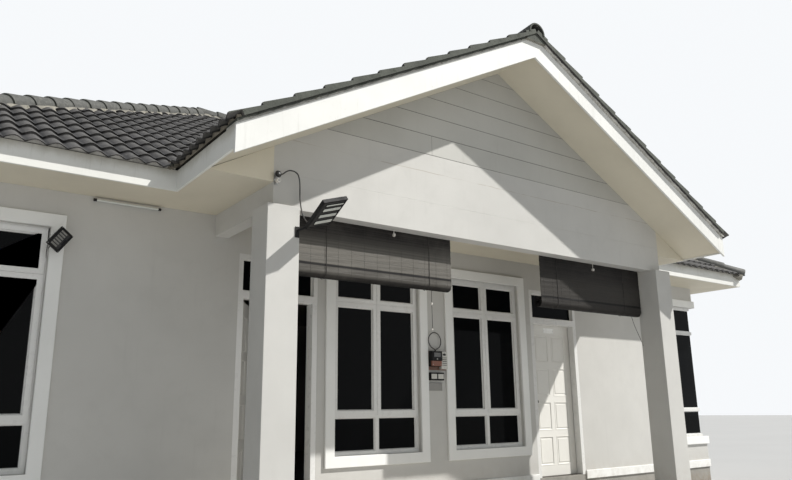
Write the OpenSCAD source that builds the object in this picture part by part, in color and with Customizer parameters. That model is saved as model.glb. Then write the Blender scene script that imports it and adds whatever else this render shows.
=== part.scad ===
/* [House] */
// Width of the house over its walls
house_w = 11770; // [10600:10:13000]
// Depth of the house over its walls
house_d = 8540; // [8000:10:9600]
// Thickness of the plastered walls
wall_t = 150; // [120:5:200]
// Height of the house floor above the ground
floor_rise = 300; // [250:10:450]
// Thickness of the floor slab
slab_t = 125; // [100:5:150]
// Thickness of the base walls under the slab
base_t = 230; // [150:10:300]
// Height of the flat eave soffit above the house floor
soffit_h = 2950; // [2900:10:3200]
// Thickness of ceiling and soffit boards
board_t = 12; // [9:1:16]
// Height of the walls above the soffit
wall_rise = 100; // [60:10:120]

/* [Plinth band] */
// Height of the top of the white plinth band above the floor
band_top = 55; // [40:5:100]
// Depth of the plinth band below the floor
band_drop = 63; // [50:1:80]
// Thickness of the plinth band
band_t = 20; // [12:1:30]

/* [Roof] */
// Pitch of the main roof in degrees
main_pitch = 30; // [27:0.5:33]
// Pitch of the porch roof in degrees
porch_pitch = 28.2; // [26:0.2:30]
// Overhang of the eaves past the walls
eave_over = 600; // [500:10:700]
// Thickness of the tile layer up to the crests of its waves
tile_t = 45; // [40:1:60]
// Width of one wave of the tiles
tile_wave = 165; // [150:1:180]
// Height of the waves from pan to crest
wave_h = 30; // [20:1:34]
// Overhang of the tiles past the fascia
tile_over = 62; // [40:1:90]
// Height of the fascia boards
fascia_h = 205; // [180:5:240]
// Thickness of fascia and barge boards
fascia_t = 25; // [18:1:32]
// Outer radius of the ridge and hip caps
cap_r = 115; // [90:5:130]
// Thickness of the ridge and hip caps
cap_t = 18; // [12:1:24]

/* [Porch] */
// Width of the porch over its beams
porch_w = 5854; // [5600:2:6200]
// Distance from the front wall to the pediment face
porch_d = 1362; // [1200:2:1600]
// Depth of the porch floor below the house floor
porch_drop = 150; // [120:5:180]
// Side of the square columns
column_w = 320; // [260:10:380]
// How far the columns stand proud of the beams
column_proud = 92; // [60:1:120]
// Distance from the soffit down to the underside of the beams
beam_drop = 230; // [150:5:300]
// Thickness of the beams and of the pediment wall
beam_t = 150; // [120:5:180]
// Overhang of the gable past the pediment
gable_over = 608; // [500:2:700]
// Height of the barge boards measured plumb
barge_h = 250; // [220:5:280]
// Overhang of the verge tiles past the barge board
verge_over = 50; // [30:1:70]
// How far the rake soffit lies above the lower edge of the barge board
rake_inset = 50; // [30:1:70]
// Height of the lowest board joint above the house floor
plank_h = 3590; // [3450:5:3700]
// Height of one pediment board
plank_w = 225; // [180:5:260]
// Thickness of the pediment boards
plank_t = 12; // [9:1:18]
// Open joint between pediment boards
plank_gap = 5; // [3:1:10]

/* [Windows] */
// Width of a window over its surround
window_w = 1461; // [1300:1:1500]
// Height of the lower edge of the surrounds above the floor
window_sill = 308; // [250:2:500]
// Distance from the soffit down to the upper edge of the surrounds
window_drop = 232; // [170:2:300]
// Width of the plaster surround
surround_w = 120; // [80:5:150]
// How far the surround stands proud of the wall
surround_proud = 30; // [15:1:45]
// Distance from the wall face to the window frame
frame_set = 40; // [20:2:60]
// Depth of the window frame
frame_d = 50; // [40:2:70]
// Visible width of the outer window frame
frame_w = 40; // [30:1:60]
// Width of the mullion
mullion_w = 52; // [46:2:80]
// Width of the cross bars
bar_w = 50; // [46:2:70]
// Height of the lower cross bar above the floor
low_bar_h = 840; // [700:5:1000]
// Height of the upper cross bar above the floor
high_bar_h = 2131; // [1900:1:2200]
// Width of the opening sashes round their glass
sash_w = 50; // [44:1:60]
// How far the sashes stand proud of the frame
sash_proud = 8; // [4:1:14]
// Thickness of the glass
glass_t = 6; // [4:1:10]
// Length of each leg of the corner windows over the surround
corner_leg = 1511; // [1300:1:1550]
// Place of the left porch window
left_window_x = -844; // [-900:2:-800]
// Place of the right porch window
right_window_x = 911; // [870:1:950]
// Place of the nearer side window behind the front wall
side_window_near = 3700; // [3400:10:3900]
// Distance between the side windows
side_window_pitch = 2900; // [2200:10:3000]
// Distance between the windows of the back wall
back_window_pitch = 2700; // [2200:10:2800]

/* [Doors] */
// Place of the left door
left_door_x = -2160; // [-2200:5:-2120]
// Place of the right door
right_door_x = 2245; // [2200:5:2290]
// Width of a door frame over its jambs
door_w = 962; // [940:2:980]
// Height of the door frame above the floor
door_head = 2574; // [2500:2:2640]
// Width of the jambs and the head
jamb_w = 52; // [40:1:60]
// How far the door frame stands out of the wall indoors
jamb_proud = 6; // [2:1:15]
// Height of the door leaves above the floor
leaf_h = 2095; // [2000:5:2150]
// Thickness of the door leaves
leaf_t = 40; // [35:1:45]
// Gap between a leaf and its frame or the floor
leaf_gap = 7; // [6:1:9]
// Height of the bar between leaf and transom light
transom_w = 76; // [60:2:90]
// Width of the door stop
stop_w = 12; // [10:1:16]
// Depth of the panels in the leaves
panel_sink = 7; // [4:1:10]
// Width of the outer leaf stiles
stile_w = 105; // [90:5:120]
// Width of the middle leaf stile
mid_stile_w = 70; // [55:5:90]
// Height of the top leaf rail
top_rail_h = 150; // [120:5:170]
// Height of the bottom leaf rail
bottom_rail_h = 140; // [120:5:180]
// Height of the three leaf rails between
rail_h = 85; // [70:5:100]
// Opening angle of the left leaf as it stands
left_open = 57; // [0:1:90]
// Radius of the hinge pins
pin_r = 5; // [4:0.5:6]
// Wall of the hinge knuckles
knuckle_wall = 3.5; // [3:0.5:5]
// Running clearance round the hinge pins
pin_gap = 0.3; // [0.2:0.05:0.4]
// Length of a hinge
hinge_l = 100; // [80:5:125]
// Radius of the door knobs
knob_r = 27; // [22:1:30]
// Height of the knobs above the floor
knob_h = 1010; // [900:10:1100]

/* [Fittings] */
// Width of a roll-up blind
blind_w = 1950; // [1600:10:2000]
// Radius of the rolled-up part of a blind
roll_r = 66; // [50:2:80]
// Height of the underside of the left roll above the floor
left_roll_h = 2152; // [2000:2:2250]
// Height of the underside of the right roll above the floor
right_roll_h = 2100; // [2000:2:2250]
// Clearance between the meter board and the surrounds beside it
meter_side = 7; // [4:1:20]
// Height of the meter board
meter_h = 235; // [215:5:280]
// Height of the underside of the meter board above the floor
meter_z = 1396; // [1350:1:1500]

/* [Hidden] */
$fn = 32;

// Colours
wall_colour = "#b9b4ac";
white_colour = "#f1efea";
soffit_colour = "#d9d3c2";
tile_colour = "#4a4a4b";
glass_colour = "#1b1f22";
dark_colour = "#2b2b2d";
concrete_colour = "#8b8983";

// Levels above the house floor
half_w = house_w / 2;
half_porch = porch_w / 2;
wall_top = soffit_h + wall_rise;
window_head = soffit_h - window_drop;
beam_h = soffit_h - beam_drop;
fascia_top = soffit_h + fascia_h;
barge_low = fascia_top - barge_h;

// Plan lines of the eaves
fascia_x = half_w + eave_over;
porch_fascia_x = half_porch + eave_over + 33;
porch_front = porch_d + gable_over;
verge_y = porch_front + verge_over;

// Roof slopes
main_tan = tan(main_pitch);
porch_tan = tan(porch_pitch);
main_tile_v = tile_t / cos(main_pitch);
porch_tile_v = tile_t / cos(porch_pitch);
// The mortar bed under the verge tiles lifts the porch tiles
bed_v = 34;
half_depth = house_d / 2;
main_run = half_depth + eave_over;
main_ridge_half = half_w - half_depth;
main_ridge_z = fascia_top + main_run * main_tan;
porch_ridge_z = fascia_top + porch_fascia_x * porch_tan;

// The frame of the part: the origin lies on the ground under the middle of the roof's box
front_y = (verge_y - house_d - eave_over - tile_over) / 2;

module house_frame() {
  translate([0, front_y, floor_rise]) children();
}

// A box given by its corners
module block(low, high) {
  translate(low) cube(high - low);
}

// Stands an outline drawn in x and z upright, from y = 0 to y = depth
module upright(depth) {
  translate([0, depth, 0]) rotate([90, 0, 0]) linear_extrude(depth) children();
}

// Places what is drawn on the front wall on wall 0 front, 1 right, 2 back or 3 left
module on_wall(side) {
  if (side == 0) children();
  if (side == 1) translate([half_w, 0, 0]) rotate([0, 0, 90]) children();
  if (side == 2) translate([0, house_d, 0]) rotate([0, 0, 180]) children();
  if (side == 3) translate([-half_w, 0, 0]) rotate([0, 0, -90]) children();
}

// Windows away from the corners: wall and place along it
side_places = [side_window_near, side_window_near + side_window_pitch];
back_places = [for (k = [-1.5 : 1 : 1.5]) k * back_window_pitch];
WINDOWS = concat(
  [[0, left_window_x], [0, right_window_x]],
  [for (y = side_places) [1, y]],
  [for (x = back_places) [2, x]],
  [for (y = side_places) [3, -y]]
);

module window_box(inset) {
  translate([-window_w / 2 + inset, window_sill + inset])
    square([window_w - 2 * inset, window_head - window_sill - 2 * inset]);
}

// Wall panels

module wall_panel(x_low, x_high) {
  difference() {
    translate([x_low, 0]) square([x_high - x_low, wall_top]);
    children();
  }
}

// The hole of a corner window in one wall, from the corner at x
module corner_hole(x, way) {
  low = window_sill + surround_w;
  leg = corner_leg - surround_w;
  translate([way > 0 ? x - 1 : x - leg, low]) square([leg + 1, window_head - surround_w - low]);
}

left_jamb = left_door_x - door_w / 2;
left_inner = left_door_x + door_w / 2;
right_inner = right_door_x - door_w / 2;
right_jamb = right_door_x + door_w / 2;

module front_wall_left() {
  house_frame() color(wall_colour) upright(wall_t)
    wall_panel(-half_w, left_jamb) corner_hole(-half_w, 1);
}

module front_wall_right() {
  house_frame() color(wall_colour) upright(wall_t)
    wall_panel(right_jamb, half_w) corner_hole(half_w, -1);
}

module front_wall_middle() {
  house_frame() color(wall_colour) upright(wall_t)
    wall_panel(left_inner, right_inner)
      for (x = [left_window_x, right_window_x]) translate([x, 0]) window_box(surround_w);
}

module door_heads() {
  house_frame() color(wall_colour) {
    block([left_jamb, 0, door_head], [left_inner, wall_t, wall_top]);
    block([right_inner, 0, door_head], [right_jamb, wall_t, wall_top]);
  }
}

module right_wall() {
  house_frame() color(wall_colour) on_wall(1) upright(wall_t)
    wall_panel(wall_t, house_d - wall_t) {
      corner_hole(0, 1);
      for (y = side_places) translate([y, 0]) window_box(surround_w);
    }
}

module left_wall() {
  house_frame() color(wall_colour) on_wall(3) upright(wall_t)
    wall_panel(wall_t - house_d, -wall_t) {
      corner_hole(0, -1);
      for (y = side_places) translate([-y, 0]) window_box(surround_w);
    }
}

module back_wall() {
  house_frame() color(wall_colour) on_wall(2) upright(wall_t)
    wall_panel(-half_w, half_w)
      for (x = back_places) translate([x, 0]) window_box(surround_w);
}

// Base, slabs and plinth band

module base_wall() {
  house_frame() color(concrete_colour) difference() {
    block([-half_w, 0, -floor_rise], [half_w, house_d, -slab_t]);
    block([base_t - half_w, base_t, -floor_rise - 1], [half_w - base_t, house_d - base_t, 1 - slab_t]);
  }
}

module floor_slab() {
  house_frame() color(concrete_colour) block([-half_w, 0, -slab_t], [half_w, house_d, 0]);
}

column_out = half_porch + column_proud;
column_front = porch_d + column_proud;

module porch_floor() {
  house_frame() color(concrete_colour)
    block([-column_out, -column_front, -floor_rise], [column_out, 0, -porch_drop]);
}

module band_ring(low, high) {
  difference() {
    block([-half_w - band_t, -band_t, low], [half_w + band_t, house_d + band_t, high]);
    block([-half_w, 0, low - 1], [half_w, house_d, high + 1]);
  }
}

module plinth_band() {
  house_frame() color(white_colour) difference() {
    band_ring(-band_drop, band_top);
    block([left_jamb, -2 * band_t, -band_drop - 1], [left_inner, 1, band_top + 1]);
    block([right_inner, -2 * band_t, -band_drop - 1], [right_jamb, 1, band_top + 1]);
  }
}

// Windows

module window_surrounds() {
  house_frame() color(white_colour)
    for (w = WINDOWS) on_wall(w[0]) translate([w[1], -surround_proud, 0]) upright(surround_proud)
      difference() {
        window_box(0);
        window_box(surround_w);
      }
}

// Plan of an L that wraps a front corner, mirrored for the other side
module corner_plan(out, depth, leg) {
  difference() {
    translate([-out, -out]) square([leg + out, leg + out]);
    translate([depth, depth]) square([leg + out, leg + out]);
  }
}

module both_corners() {
  translate([-half_w, 0, 0]) children();
  translate([half_w, 0, 0]) mirror([1, 0, 0]) children();
}

module corner_surrounds() {
  inner = corner_leg - surround_w;
  house_frame() color(white_colour) both_corners() difference() {
    translate([0, 0, window_sill]) linear_extrude(window_head - window_sill)
      corner_plan(surround_proud, 0, corner_leg);
    block([-2 * surround_proud, -2 * surround_proud, window_sill + surround_w],
          [inner, inner, window_head - surround_w]);
  }
}

pane_low = window_sill + surround_w;
pane_high = window_head - surround_w;

module bars_2d(width) {
  translate([0, low_bar_h]) square([width, bar_w]);
  translate([0, high_bar_h]) square([width, bar_w]);
}

module frame_2d(width) {
  difference() {
    translate([0, pane_low]) square([width, pane_high - pane_low]);
    translate([frame_w, pane_low + frame_w])
      square([width - 2 * frame_w, pane_high - pane_low - 2 * frame_w]);
  }
  intersection() {
    union() {
      bars_2d(width);
      translate([width / 2 - mullion_w / 2, pane_low]) square([mullion_w, pane_high - pane_low]);
    }
    translate([frame_w / 2, pane_low]) square([width - frame_w, pane_high - pane_low]);
  }
}

glass_set = frame_set + frame_d / 2 - glass_t / 2;

// The sashes lap over the frame and leave a fine joint where two of them meet
sash_joint = 2;
sash_lap = min((min(mullion_w, bar_w) - sash_joint) / 2, frame_w - 10);
SASH_ROWS = [[low_bar_h + bar_w, high_bar_h], [high_bar_h + bar_w, pane_high - frame_w]];

// The rings of the two sashes over an opening from x_low to x_high
module sashes_2d(x_low, x_high) {
  ring_in = sash_w - sash_lap;
  for (row = SASH_ROWS) difference() {
    translate([x_low - sash_lap, row[0] - sash_lap])
      square([x_high - x_low + 2 * sash_lap, row[1] - row[0] + 2 * sash_lap]);
    translate([x_low + ring_in, row[0] + ring_in])
      square([x_high - x_low - 2 * ring_in, row[1] - row[0] - 2 * ring_in]);
  }
}

// Stands sashes upright, proud of the frame
module sashes() {
  translate([0, frame_set - sash_proud, 0]) upright(sash_proud + frame_d) children();
}

// The groove that holds the glass inside a frame
module glass_groove(width) {
  translate([0, glass_set, 0]) upright(glass_t)
    translate([frame_w / 2, pane_low + frame_w / 2])
      square([width - frame_w, pane_high - pane_low - frame_w]);
}

module window_frames() {
  width = window_w - 2 * surround_w;
  house_frame() color(white_colour)
    for (w = WINDOWS) on_wall(w[0]) translate([w[1] - width / 2, 0, 0]) difference() {
      union() {
        translate([0, frame_set, 0]) upright(frame_d) frame_2d(width);
        sashes() {
          sashes_2d(frame_w, width / 2 - mullion_w / 2);
          sashes_2d(width / 2 + mullion_w / 2, width - frame_w);
        }
      }
      glass_groove(width);
    }
}

module window_glass() {
  width = window_w - 2 * surround_w;
  house_frame() color(glass_colour)
    for (w = WINDOWS) on_wall(w[0]) translate([w[1] - width / 2, 0, 0]) glass_groove(width);
}

// One leg of a corner window: no post at the corner end, where glass meets glass
corner_pane = corner_leg - surround_w;

module corner_leg_2d(length) {
  difference() {
    translate([0, pane_low]) square([length, pane_high - pane_low]);
    translate([-1, pane_low + frame_w])
      square([length - frame_w + 1, pane_high - pane_low - 2 * frame_w]);
  }
  bars_2d(length);
  translate([length / 2 - mullion_w / 2, pane_low]) square([mullion_w, pane_high - pane_low]);
}

module corner_glass_plan() {
  translate([glass_set, glass_set]) difference() {
    square(corner_pane - frame_w / 2 - glass_set);
    translate([glass_t, glass_t]) square(corner_pane);
  }
}

module corner_glass_solid() {
  translate([0, 0, pane_low + frame_w / 2])
    linear_extrude(pane_high - pane_low - frame_w) corner_glass_plan();
}

// One leg with the sashes of its pane beside the jamb
module corner_leg_solid() {
  length = corner_pane - frame_set;
  translate([0, frame_set, 0]) upright(frame_d) corner_leg_2d(length);
  sashes() sashes_2d(length / 2 + mullion_w / 2, length - frame_w);
}

module corner_window_frames() {
  house_frame() color(white_colour) both_corners() difference() {
    union() {
      translate([frame_set, 0, 0]) corner_leg_solid();
      mirror([1, -1, 0]) translate([frame_set, 0, 0]) corner_leg_solid();
    }
    corner_glass_solid();
  }
}

module corner_glass() {
  house_frame() color(glass_colour) both_corners() corner_glass_solid();
}

// Doors

jamb_d = wall_t + jamb_proud;
leaf_w = door_w - 2 * jamb_w - 2 * leaf_gap;
leaf_back = jamb_d - leaf_gap;
leaf_front = leaf_back - leaf_t;
transom_low = leaf_h + leaf_gap;
transom_set = leaf_front / 2;

module door_frame_at(x) {
  inner = door_w / 2 - jamb_w;
  translate([x, 0, 0]) difference() {
    block([-door_w / 2, 0, 0], [door_w / 2, jamb_d, door_head]);
    block([-inner, leaf_front - leaf_gap, -1], [inner, jamb_d + 1, transom_low]);
    block([stop_w - inner, -1, -1], [inner - stop_w, jamb_d + 1, transom_low - stop_w]);
    block([-inner, -1, transom_low + transom_w], [inner, jamb_d + 1, door_head - jamb_w]);
    transom_pane();
  }
}

module transom_pane() {
  inner = door_w / 2 - jamb_w / 2;
  block([-inner, transom_set, transom_low + transom_w / 2 + glass_t],
        [inner, transom_set + glass_t, door_head - jamb_w / 2]);
}

module door_frames() {
  house_frame() color(white_colour) {
    door_frame_at(left_door_x);
    door_frame_at(right_door_x);
  }
}

module transom_glass() {
  house_frame() color(glass_colour)
    for (x = [left_door_x, right_door_x]) translate([x, 0, 0]) transom_pane();
}

// Hinge pins stand clear of the back of the leaves
knuckle_r = pin_r + pin_gap + knuckle_wall;
pin_y = leaf_back + leaf_gap + knuckle_r;
pin_x = leaf_gap / 2;
hinge_levels = [220, leaf_h / 2, leaf_h - 220];
plate_t = 3;

// A leaf drawn from its pin: hinge side at the left, closed along +X
module leaf_shape() {
  edge = leaf_gap - pin_x;
  panel_w = (leaf_w - 2 * stile_w - mid_stile_w) / 2;
  panel_h = (leaf_h - leaf_gap - top_rail_h - bottom_rail_h - 3 * rail_h) / 4;
  translate([edge, leaf_front - pin_y, leaf_gap]) difference() {
    cube([leaf_w, leaf_t, leaf_h - leaf_gap]);
    for (i = [0, 1], j = [0 : 3], side = [0, 1])
      translate([stile_w + i * (panel_w + mid_stile_w),
                 side == 0 ? -1 : leaf_t - panel_sink,
                 bottom_rail_h + j * (panel_h + rail_h)])
        difference() {
          cube([panel_w, panel_sink + 1, panel_h]);
          raised_field(panel_w, panel_h, side);
        }
  }
}

field_rise = 5;
field_inset = 34;

module raised_field(width, height, side) {
  translate([field_inset, side == 0 ? 1 + panel_sink - field_rise : -1, field_inset])
    cube([width - 2 * field_inset, field_rise + 1, height - 2 * field_inset]);
}

// Three knuckles on the leaf, each bored for the pin, with a plate on the back of the leaf
module leaf_knuckles() {
  for (z = hinge_levels) translate([0, 0, z - hinge_l / 4]) difference() {
    union() {
      cylinder(r = knuckle_r, h = hinge_l / 2);
      translate([0, -knuckle_r, 0]) cube([hinge_l / 2, plate_t, hinge_l / 2]);
      translate([leaf_gap, leaf_back - pin_y, 0])
        cube([hinge_l / 2 - leaf_gap, pin_y - leaf_back - knuckle_r + plate_t, hinge_l / 2]);
    }
    translate([0, 0, -1]) cylinder(r = pin_r + pin_gap, h = hinge_l / 2 + 2);
  }
}

module knob_at(x, y, way) {
  rose = 8;
  neck = 30;
  translate([x, y, knob_h]) rotate([way > 0 ? -90 : 90, 0, 0]) {
    cylinder(r = knob_r, h = rose);
    cylinder(r = knob_r / 2.4, h = neck);
    translate([0, 0, neck + knob_r / 2]) sphere(r = knob_r);
  }
}

module leaf_hardware() {
  lock_x = leaf_gap - pin_x + leaf_w - stile_w / 2;
  leaf_knuckles();
  knob_at(lock_x, leaf_front - pin_y, -1);
  knob_at(lock_x, leaf_back - pin_y, 1);
}

// Places a leaf on the left jamb of the left door, open as it stands
module left_leaf_place() {
  translate([left_door_x - door_w / 2 + jamb_w + pin_x, pin_y, 0]) rotate([0, 0, left_open]) children();
}

// Places a leaf on the right jamb of the right door, closed
module right_leaf_place() {
  translate([right_door_x + door_w / 2 - jamb_w - pin_x, pin_y, 0]) mirror([1, 0, 0]) children();
}

module left_door_leaf() {
  house_frame() color(white_colour) left_leaf_place() leaf_shape();
}

module left_door_hardware() {
  house_frame() color("#c9a24a") left_leaf_place() leaf_hardware();
}

module right_door_leaf() {
  house_frame() color(white_colour) right_leaf_place() leaf_shape();
}

module right_door_hardware() {
  house_frame() color("#c9a24a") right_leaf_place() leaf_hardware();
}

// Pins with the frame's own knuckles above and below the leaf knuckle
module hinge_pin_set() {
  end_l = hinge_l / 4 - 1;
  for (z = hinge_levels) {
    translate([0, 0, z - hinge_l / 2]) cylinder(r = pin_r, h = hinge_l);
    for (s = [0, 1]) translate([0, 0, s == 0 ? z - hinge_l / 2 : z + hinge_l / 4 + 1]) {
      cylinder(r = knuckle_r, h = end_l);
      translate([-hinge_l / 3, -knuckle_r, 0]) cube([hinge_l / 3, plate_t, end_l]);
    }
  }
}

module door_hinge_pins() {
  house_frame() color("#b08d3c") {
    translate([left_door_x - door_w / 2 + jamb_w + pin_x, pin_y, 0]) hinge_pin_set();
    translate([right_door_x + door_w / 2 - jamb_w - pin_x, pin_y, 0]) mirror([1, 0, 0]) hinge_pin_set();
  }
}

// Porch

module porch_columns() {
  house_frame() color(wall_colour) for (s = [0, 1]) mirror([s, 0, 0])
    block([column_out - column_w, -column_front, -porch_drop],
          [column_out, column_w - column_front, beam_h]);
}

module porch_beams() {
  house_frame() color(wall_colour) {
    block([-half_porch, -porch_d, beam_h], [half_porch, beam_t - porch_d, wall_top]);
    for (s = [0, 1]) mirror([s, 0, 0])
      block([half_porch - beam_t, beam_t - porch_d, beam_h], [half_porch, 0, wall_top]);
  }
}

// Underside line of the rake soffit, as a height over x
rake_ridge = barge_low + rake_inset + porch_fascia_x * porch_tan;

module under_rake(x_half, low, drop) {
  edge = rake_ridge - drop - x_half * porch_tan;
  polygon([[-x_half, low], [x_half, low], [x_half, edge], [0, rake_ridge - drop], [-x_half, edge]]);
}

module pediment_wall() {
  house_frame() color(wall_colour) translate([0, -porch_d, 0]) difference() {
    upright(beam_t) under_rake(half_porch, wall_top, 0);
    translate([-half_porch, -1, plank_h]) cube([porch_w, plank_t + 1, porch_ridge_z]);
  }
}

module pediment_planks() {
  rows = ceil((rake_ridge - plank_h) / plank_w);
  house_frame() color(wall_colour) translate([0, -porch_d, 0])
    upright(plank_t) intersection() {
      under_rake(half_porch, plank_h, 0);
      for (k = [0 : rows - 1]) translate([-half_porch, plank_h + k * plank_w + plank_gap])
        square([porch_w, plank_w - plank_gap]);
    }
}

module ceiling_boards() {
  house_frame() color(white_colour)
    block([wall_t - half_w, wall_t, soffit_h], [half_w - wall_t, house_d - wall_t, soffit_h + board_t]);
}

// Flat soffits round the house, beside the porch and over it
module soffit_boards() {
  inner = fascia_x - fascia_t;
  side = porch_fascia_x - fascia_t;
  house_frame() color(soffit_colour) translate([0, 0, soffit_h]) linear_extrude(board_t) {
    difference() {
      translate([-inner, fascia_t - eave_over]) square([2 * inner, house_d + 2 * (eave_over - fascia_t)]);
      translate([-half_w, 0]) square([house_w, house_d]);
      translate([-half_porch, -porch_d]) square([porch_w, porch_d + 1]);
    }
    translate([-side, -porch_d]) square([side - half_porch, porch_d - eave_over + 2 * fascia_t]);
    translate([half_porch, -porch_d]) square([side - half_porch, porch_d - eave_over + 2 * fascia_t]);
    translate([beam_t - half_porch, beam_t - porch_d]) square([porch_w - 2 * beam_t, porch_d - beam_t]);
  }
}

// Sloping soffits under the gable overhang and the closing boards at their feet
module rake_soffits() {
  side = porch_fascia_x - fascia_t;
  house_frame() color(soffit_colour) {
    translate([0, fascia_t - porch_front, 0]) upright(gable_over - fascia_t + board_t) difference() {
      under_rake(side, soffit_h, -board_t);
      translate([0, -1]) under_rake(side + 1, 0, -1);
    }
    for (s = [0, 1]) mirror([s, 0, 0]) translate([0, -porch_d, 0]) upright(board_t)
      polygon([[half_porch, soffit_h + board_t], [side, soffit_h + board_t],
               [half_porch, rake_ridge - half_porch * porch_tan]]);
  }
}

// Fascia ring with the porch sides
module fascia_boards() {
  house_frame() color(white_colour) translate([0, 0, soffit_h]) linear_extrude(fascia_h)
    difference() {
      eave_plan(0);
      eave_plan(fascia_t);
      translate([-porch_fascia_x - 1, -porch_front - 1])
        square([2 * porch_fascia_x + 2, fascia_t + 1]);
      translate([fascia_t - porch_fascia_x, -porch_front])
        square([2 * (porch_fascia_x - fascia_t), porch_d]);
    }
}

// Plan of the eaves, drawn in by an inset
module eave_plan(inset) {
  translate([inset - fascia_x, inset - eave_over])
    square([2 * (fascia_x - inset), house_d + 2 * (eave_over - inset)]);
  translate([inset - porch_fascia_x, inset - porch_front])
    square([2 * (porch_fascia_x - inset), porch_front]);
}

module barge_boards() {
  apex = barge_low + porch_fascia_x * porch_tan;
  house_frame() color(white_colour) translate([0, -porch_front, 0]) upright(fascia_t)
    polygon([[-porch_fascia_x, barge_low], [0, apex], [porch_fascia_x, barge_low],
             [porch_fascia_x, fascia_top], [0, apex + barge_h], [-porch_fascia_x, fascia_top]]);
}

// Roofs

// One wave of the tiles as places along it and depths under its crest, which is round over a creased pan
wave_form = [[0, 0], [0.25, 0.39], [0.5, 1], [0.75, 0.39]];

// Everything under a slope of waves, numbered along its eave on the x axis, that rises along y
module wave_slope(first, last, run, pitch) {
  deep = run * sin(pitch);
  low = [for (k = [first : last - 1], p = wave_form) [(k + p[0]) * tile_wave, wave_h * p[1]]];
  sides = [[last * tile_wave, 0], [last * tile_wave, deep], [first * tile_wave, deep]];
  rotate([pitch - 90, 0, 0]) translate([0, 0, -wave_h]) linear_extrude(run / cos(pitch) + wave_h)
    polygon(concat(low, sides));
}

// A hipped solid whose faces pass through the eave line at the given height
module hip_solid(grow, base_z) {
  x_run = fascia_x + grow;
  y_run = main_run + grow;
  translate([0, half_depth, base_z - grow * main_tan]) intersection() {
    translate([-x_run, 0, 0]) rotate([90, 0, 90]) linear_extrude(2 * x_run)
      polygon([[-y_run, 0], [y_run, 0], [0, y_run * main_tan]]);
    translate([0, -y_run, 0]) translate([0, 2 * y_run, 0]) rotate([90, 0, 0])
      linear_extrude(2 * y_run)
        polygon([[-x_run, 0], [x_run, 0], [0, x_run * main_tan]]);
  }
}

// A gable solid over the porch that runs back into the main roof
module gable_solid(grow, base_z, front) {
  run = porch_fascia_x + grow;
  translate([0, -front, base_z - grow * porch_tan]) upright(front + half_depth)
    polygon([[-run, 0], [run, 0], [0, run * porch_tan]]);
}

porch_tile_base = fascia_top + bed_v;

// One slope of the main roof over its plan, down to the pans of its eave; out is the eave's distance
module main_slope(out, eave_half) {
  waves = ceil(eave_half / tile_wave);
  eave_z = fascia_top + main_tile_v - tile_over * main_tan;
  intersection() {
    translate([0, -out, eave_z]) wave_slope(-waves, waves, main_run + tile_over, main_pitch);
    translate([0, 0, eave_z - wave_h / cos(main_pitch)]) linear_extrude(main_run) children();
  }
}

// The four wavy slopes of the main roof, which meet over the hips and the ridge
module main_slopes() {
  x_run = fascia_x + tile_over;
  y_run = main_run + tile_over;
  ridge = x_run - y_run;
  translate([0, half_depth, 0]) for (t = [0, 1]) {
    mirror([0, t, 0]) main_slope(y_run, x_run)
      polygon([[-x_run, -y_run], [x_run, -y_run], [ridge, 0], [-ridge, 0]]);
    mirror([t, 0, 0]) rotate([0, 0, 90]) main_slope(x_run, y_run)
      polygon([[-y_run, -x_run], [y_run, -x_run], [0, -ridge]]);
  }
}

module main_roof() {
  house_frame() color(tile_colour) difference() {
    main_slopes();
    hip_solid(tile_over + 1, fascia_top);
    porch_space();
  }
}

// The space over the porch, between its fascias and under its slopes, that the main roof leaves free
module porch_space() {
  translate([0, -porch_front, fascia_top]) upright(porch_front + half_depth)
    polygon([[-porch_fascia_x, -fascia_h], [porch_fascia_x, -fascia_h], [porch_fascia_x, 0],
             [0, porch_fascia_x * porch_tan], [-porch_fascia_x, 0]]);
}

// The two wavy slopes of the porch roof; their first crest lies at the verge
module porch_slopes() {
  run = porch_fascia_x + tile_over;
  depth = verge_y + half_depth;
  eave_z = porch_tile_base + porch_tile_v - tile_over * porch_tan;
  for (s = [0, 1]) mirror([s, 0, 0]) intersection() {
    translate([run, -verge_y, eave_z]) rotate([0, 0, 90])
      wave_slope(0, ceil(depth / tile_wave), run, porch_pitch);
    block([0, -verge_y, eave_z - wave_h / cos(porch_pitch)], [run, half_depth, eave_z + run]);
  }
}

module porch_roof() {
  house_frame() color(tile_colour) difference() {
    porch_slopes();
    gable_solid(tile_over + 1, fascia_top, verge_y + 1);
    hip_solid(tile_over, fascia_top + main_tile_v);
  }
}

// A half round cap along a line from one point to another
module cap_run(from, to) {
  way = to - from;
  flat = norm([way[0], way[1]]);
  length = norm(way);
  translate(from) rotate([0, -atan2(way[2], flat), atan2(way[1], way[0])])
    rotate([90, 0, 90]) linear_extrude(length) difference() {
      circle(r = cap_r);
      circle(r = cap_r - cap_t);
      translate([-cap_r - 1, -cap_r - 1]) square([2 * cap_r + 2, cap_r + 1]);
    }
}

// The inner edges of a cap's feet stand just clear of both slopes, which sets its axis below their crest
cap_seat = 0.3;
foot_r = cap_r - cap_t;
ridge_sink = foot_r * main_tan - cap_seat;
hip_sink = foot_r * main_tan * sin(45) - cap_seat;
porch_sink = foot_r * porch_tan - cap_seat;
// The hip caps stop where they would meet each other, and the ridge cap runs on to them
hip_stop = 1.5 * cap_r;

module hip_cap() {
  corner_z = fascia_top + main_tile_v - hip_sink - tile_over * main_tan;
  rise = (main_run + tile_over - hip_stop) * main_tan;
  corner = [fascia_x + tile_over, -main_run - tile_over, corner_z];
  inner = corner + [hip_stop - main_run - tile_over, main_run + tile_over - hip_stop, rise];
  past = [cap_r, -cap_r, -cap_r * main_tan];
  intersection() {
    cap_run(corner + past, inner);
    block([0, -main_run - tile_over, 0], [fascia_x + tile_over, 0, main_ridge_z + cap_r]);
  }
}

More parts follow.
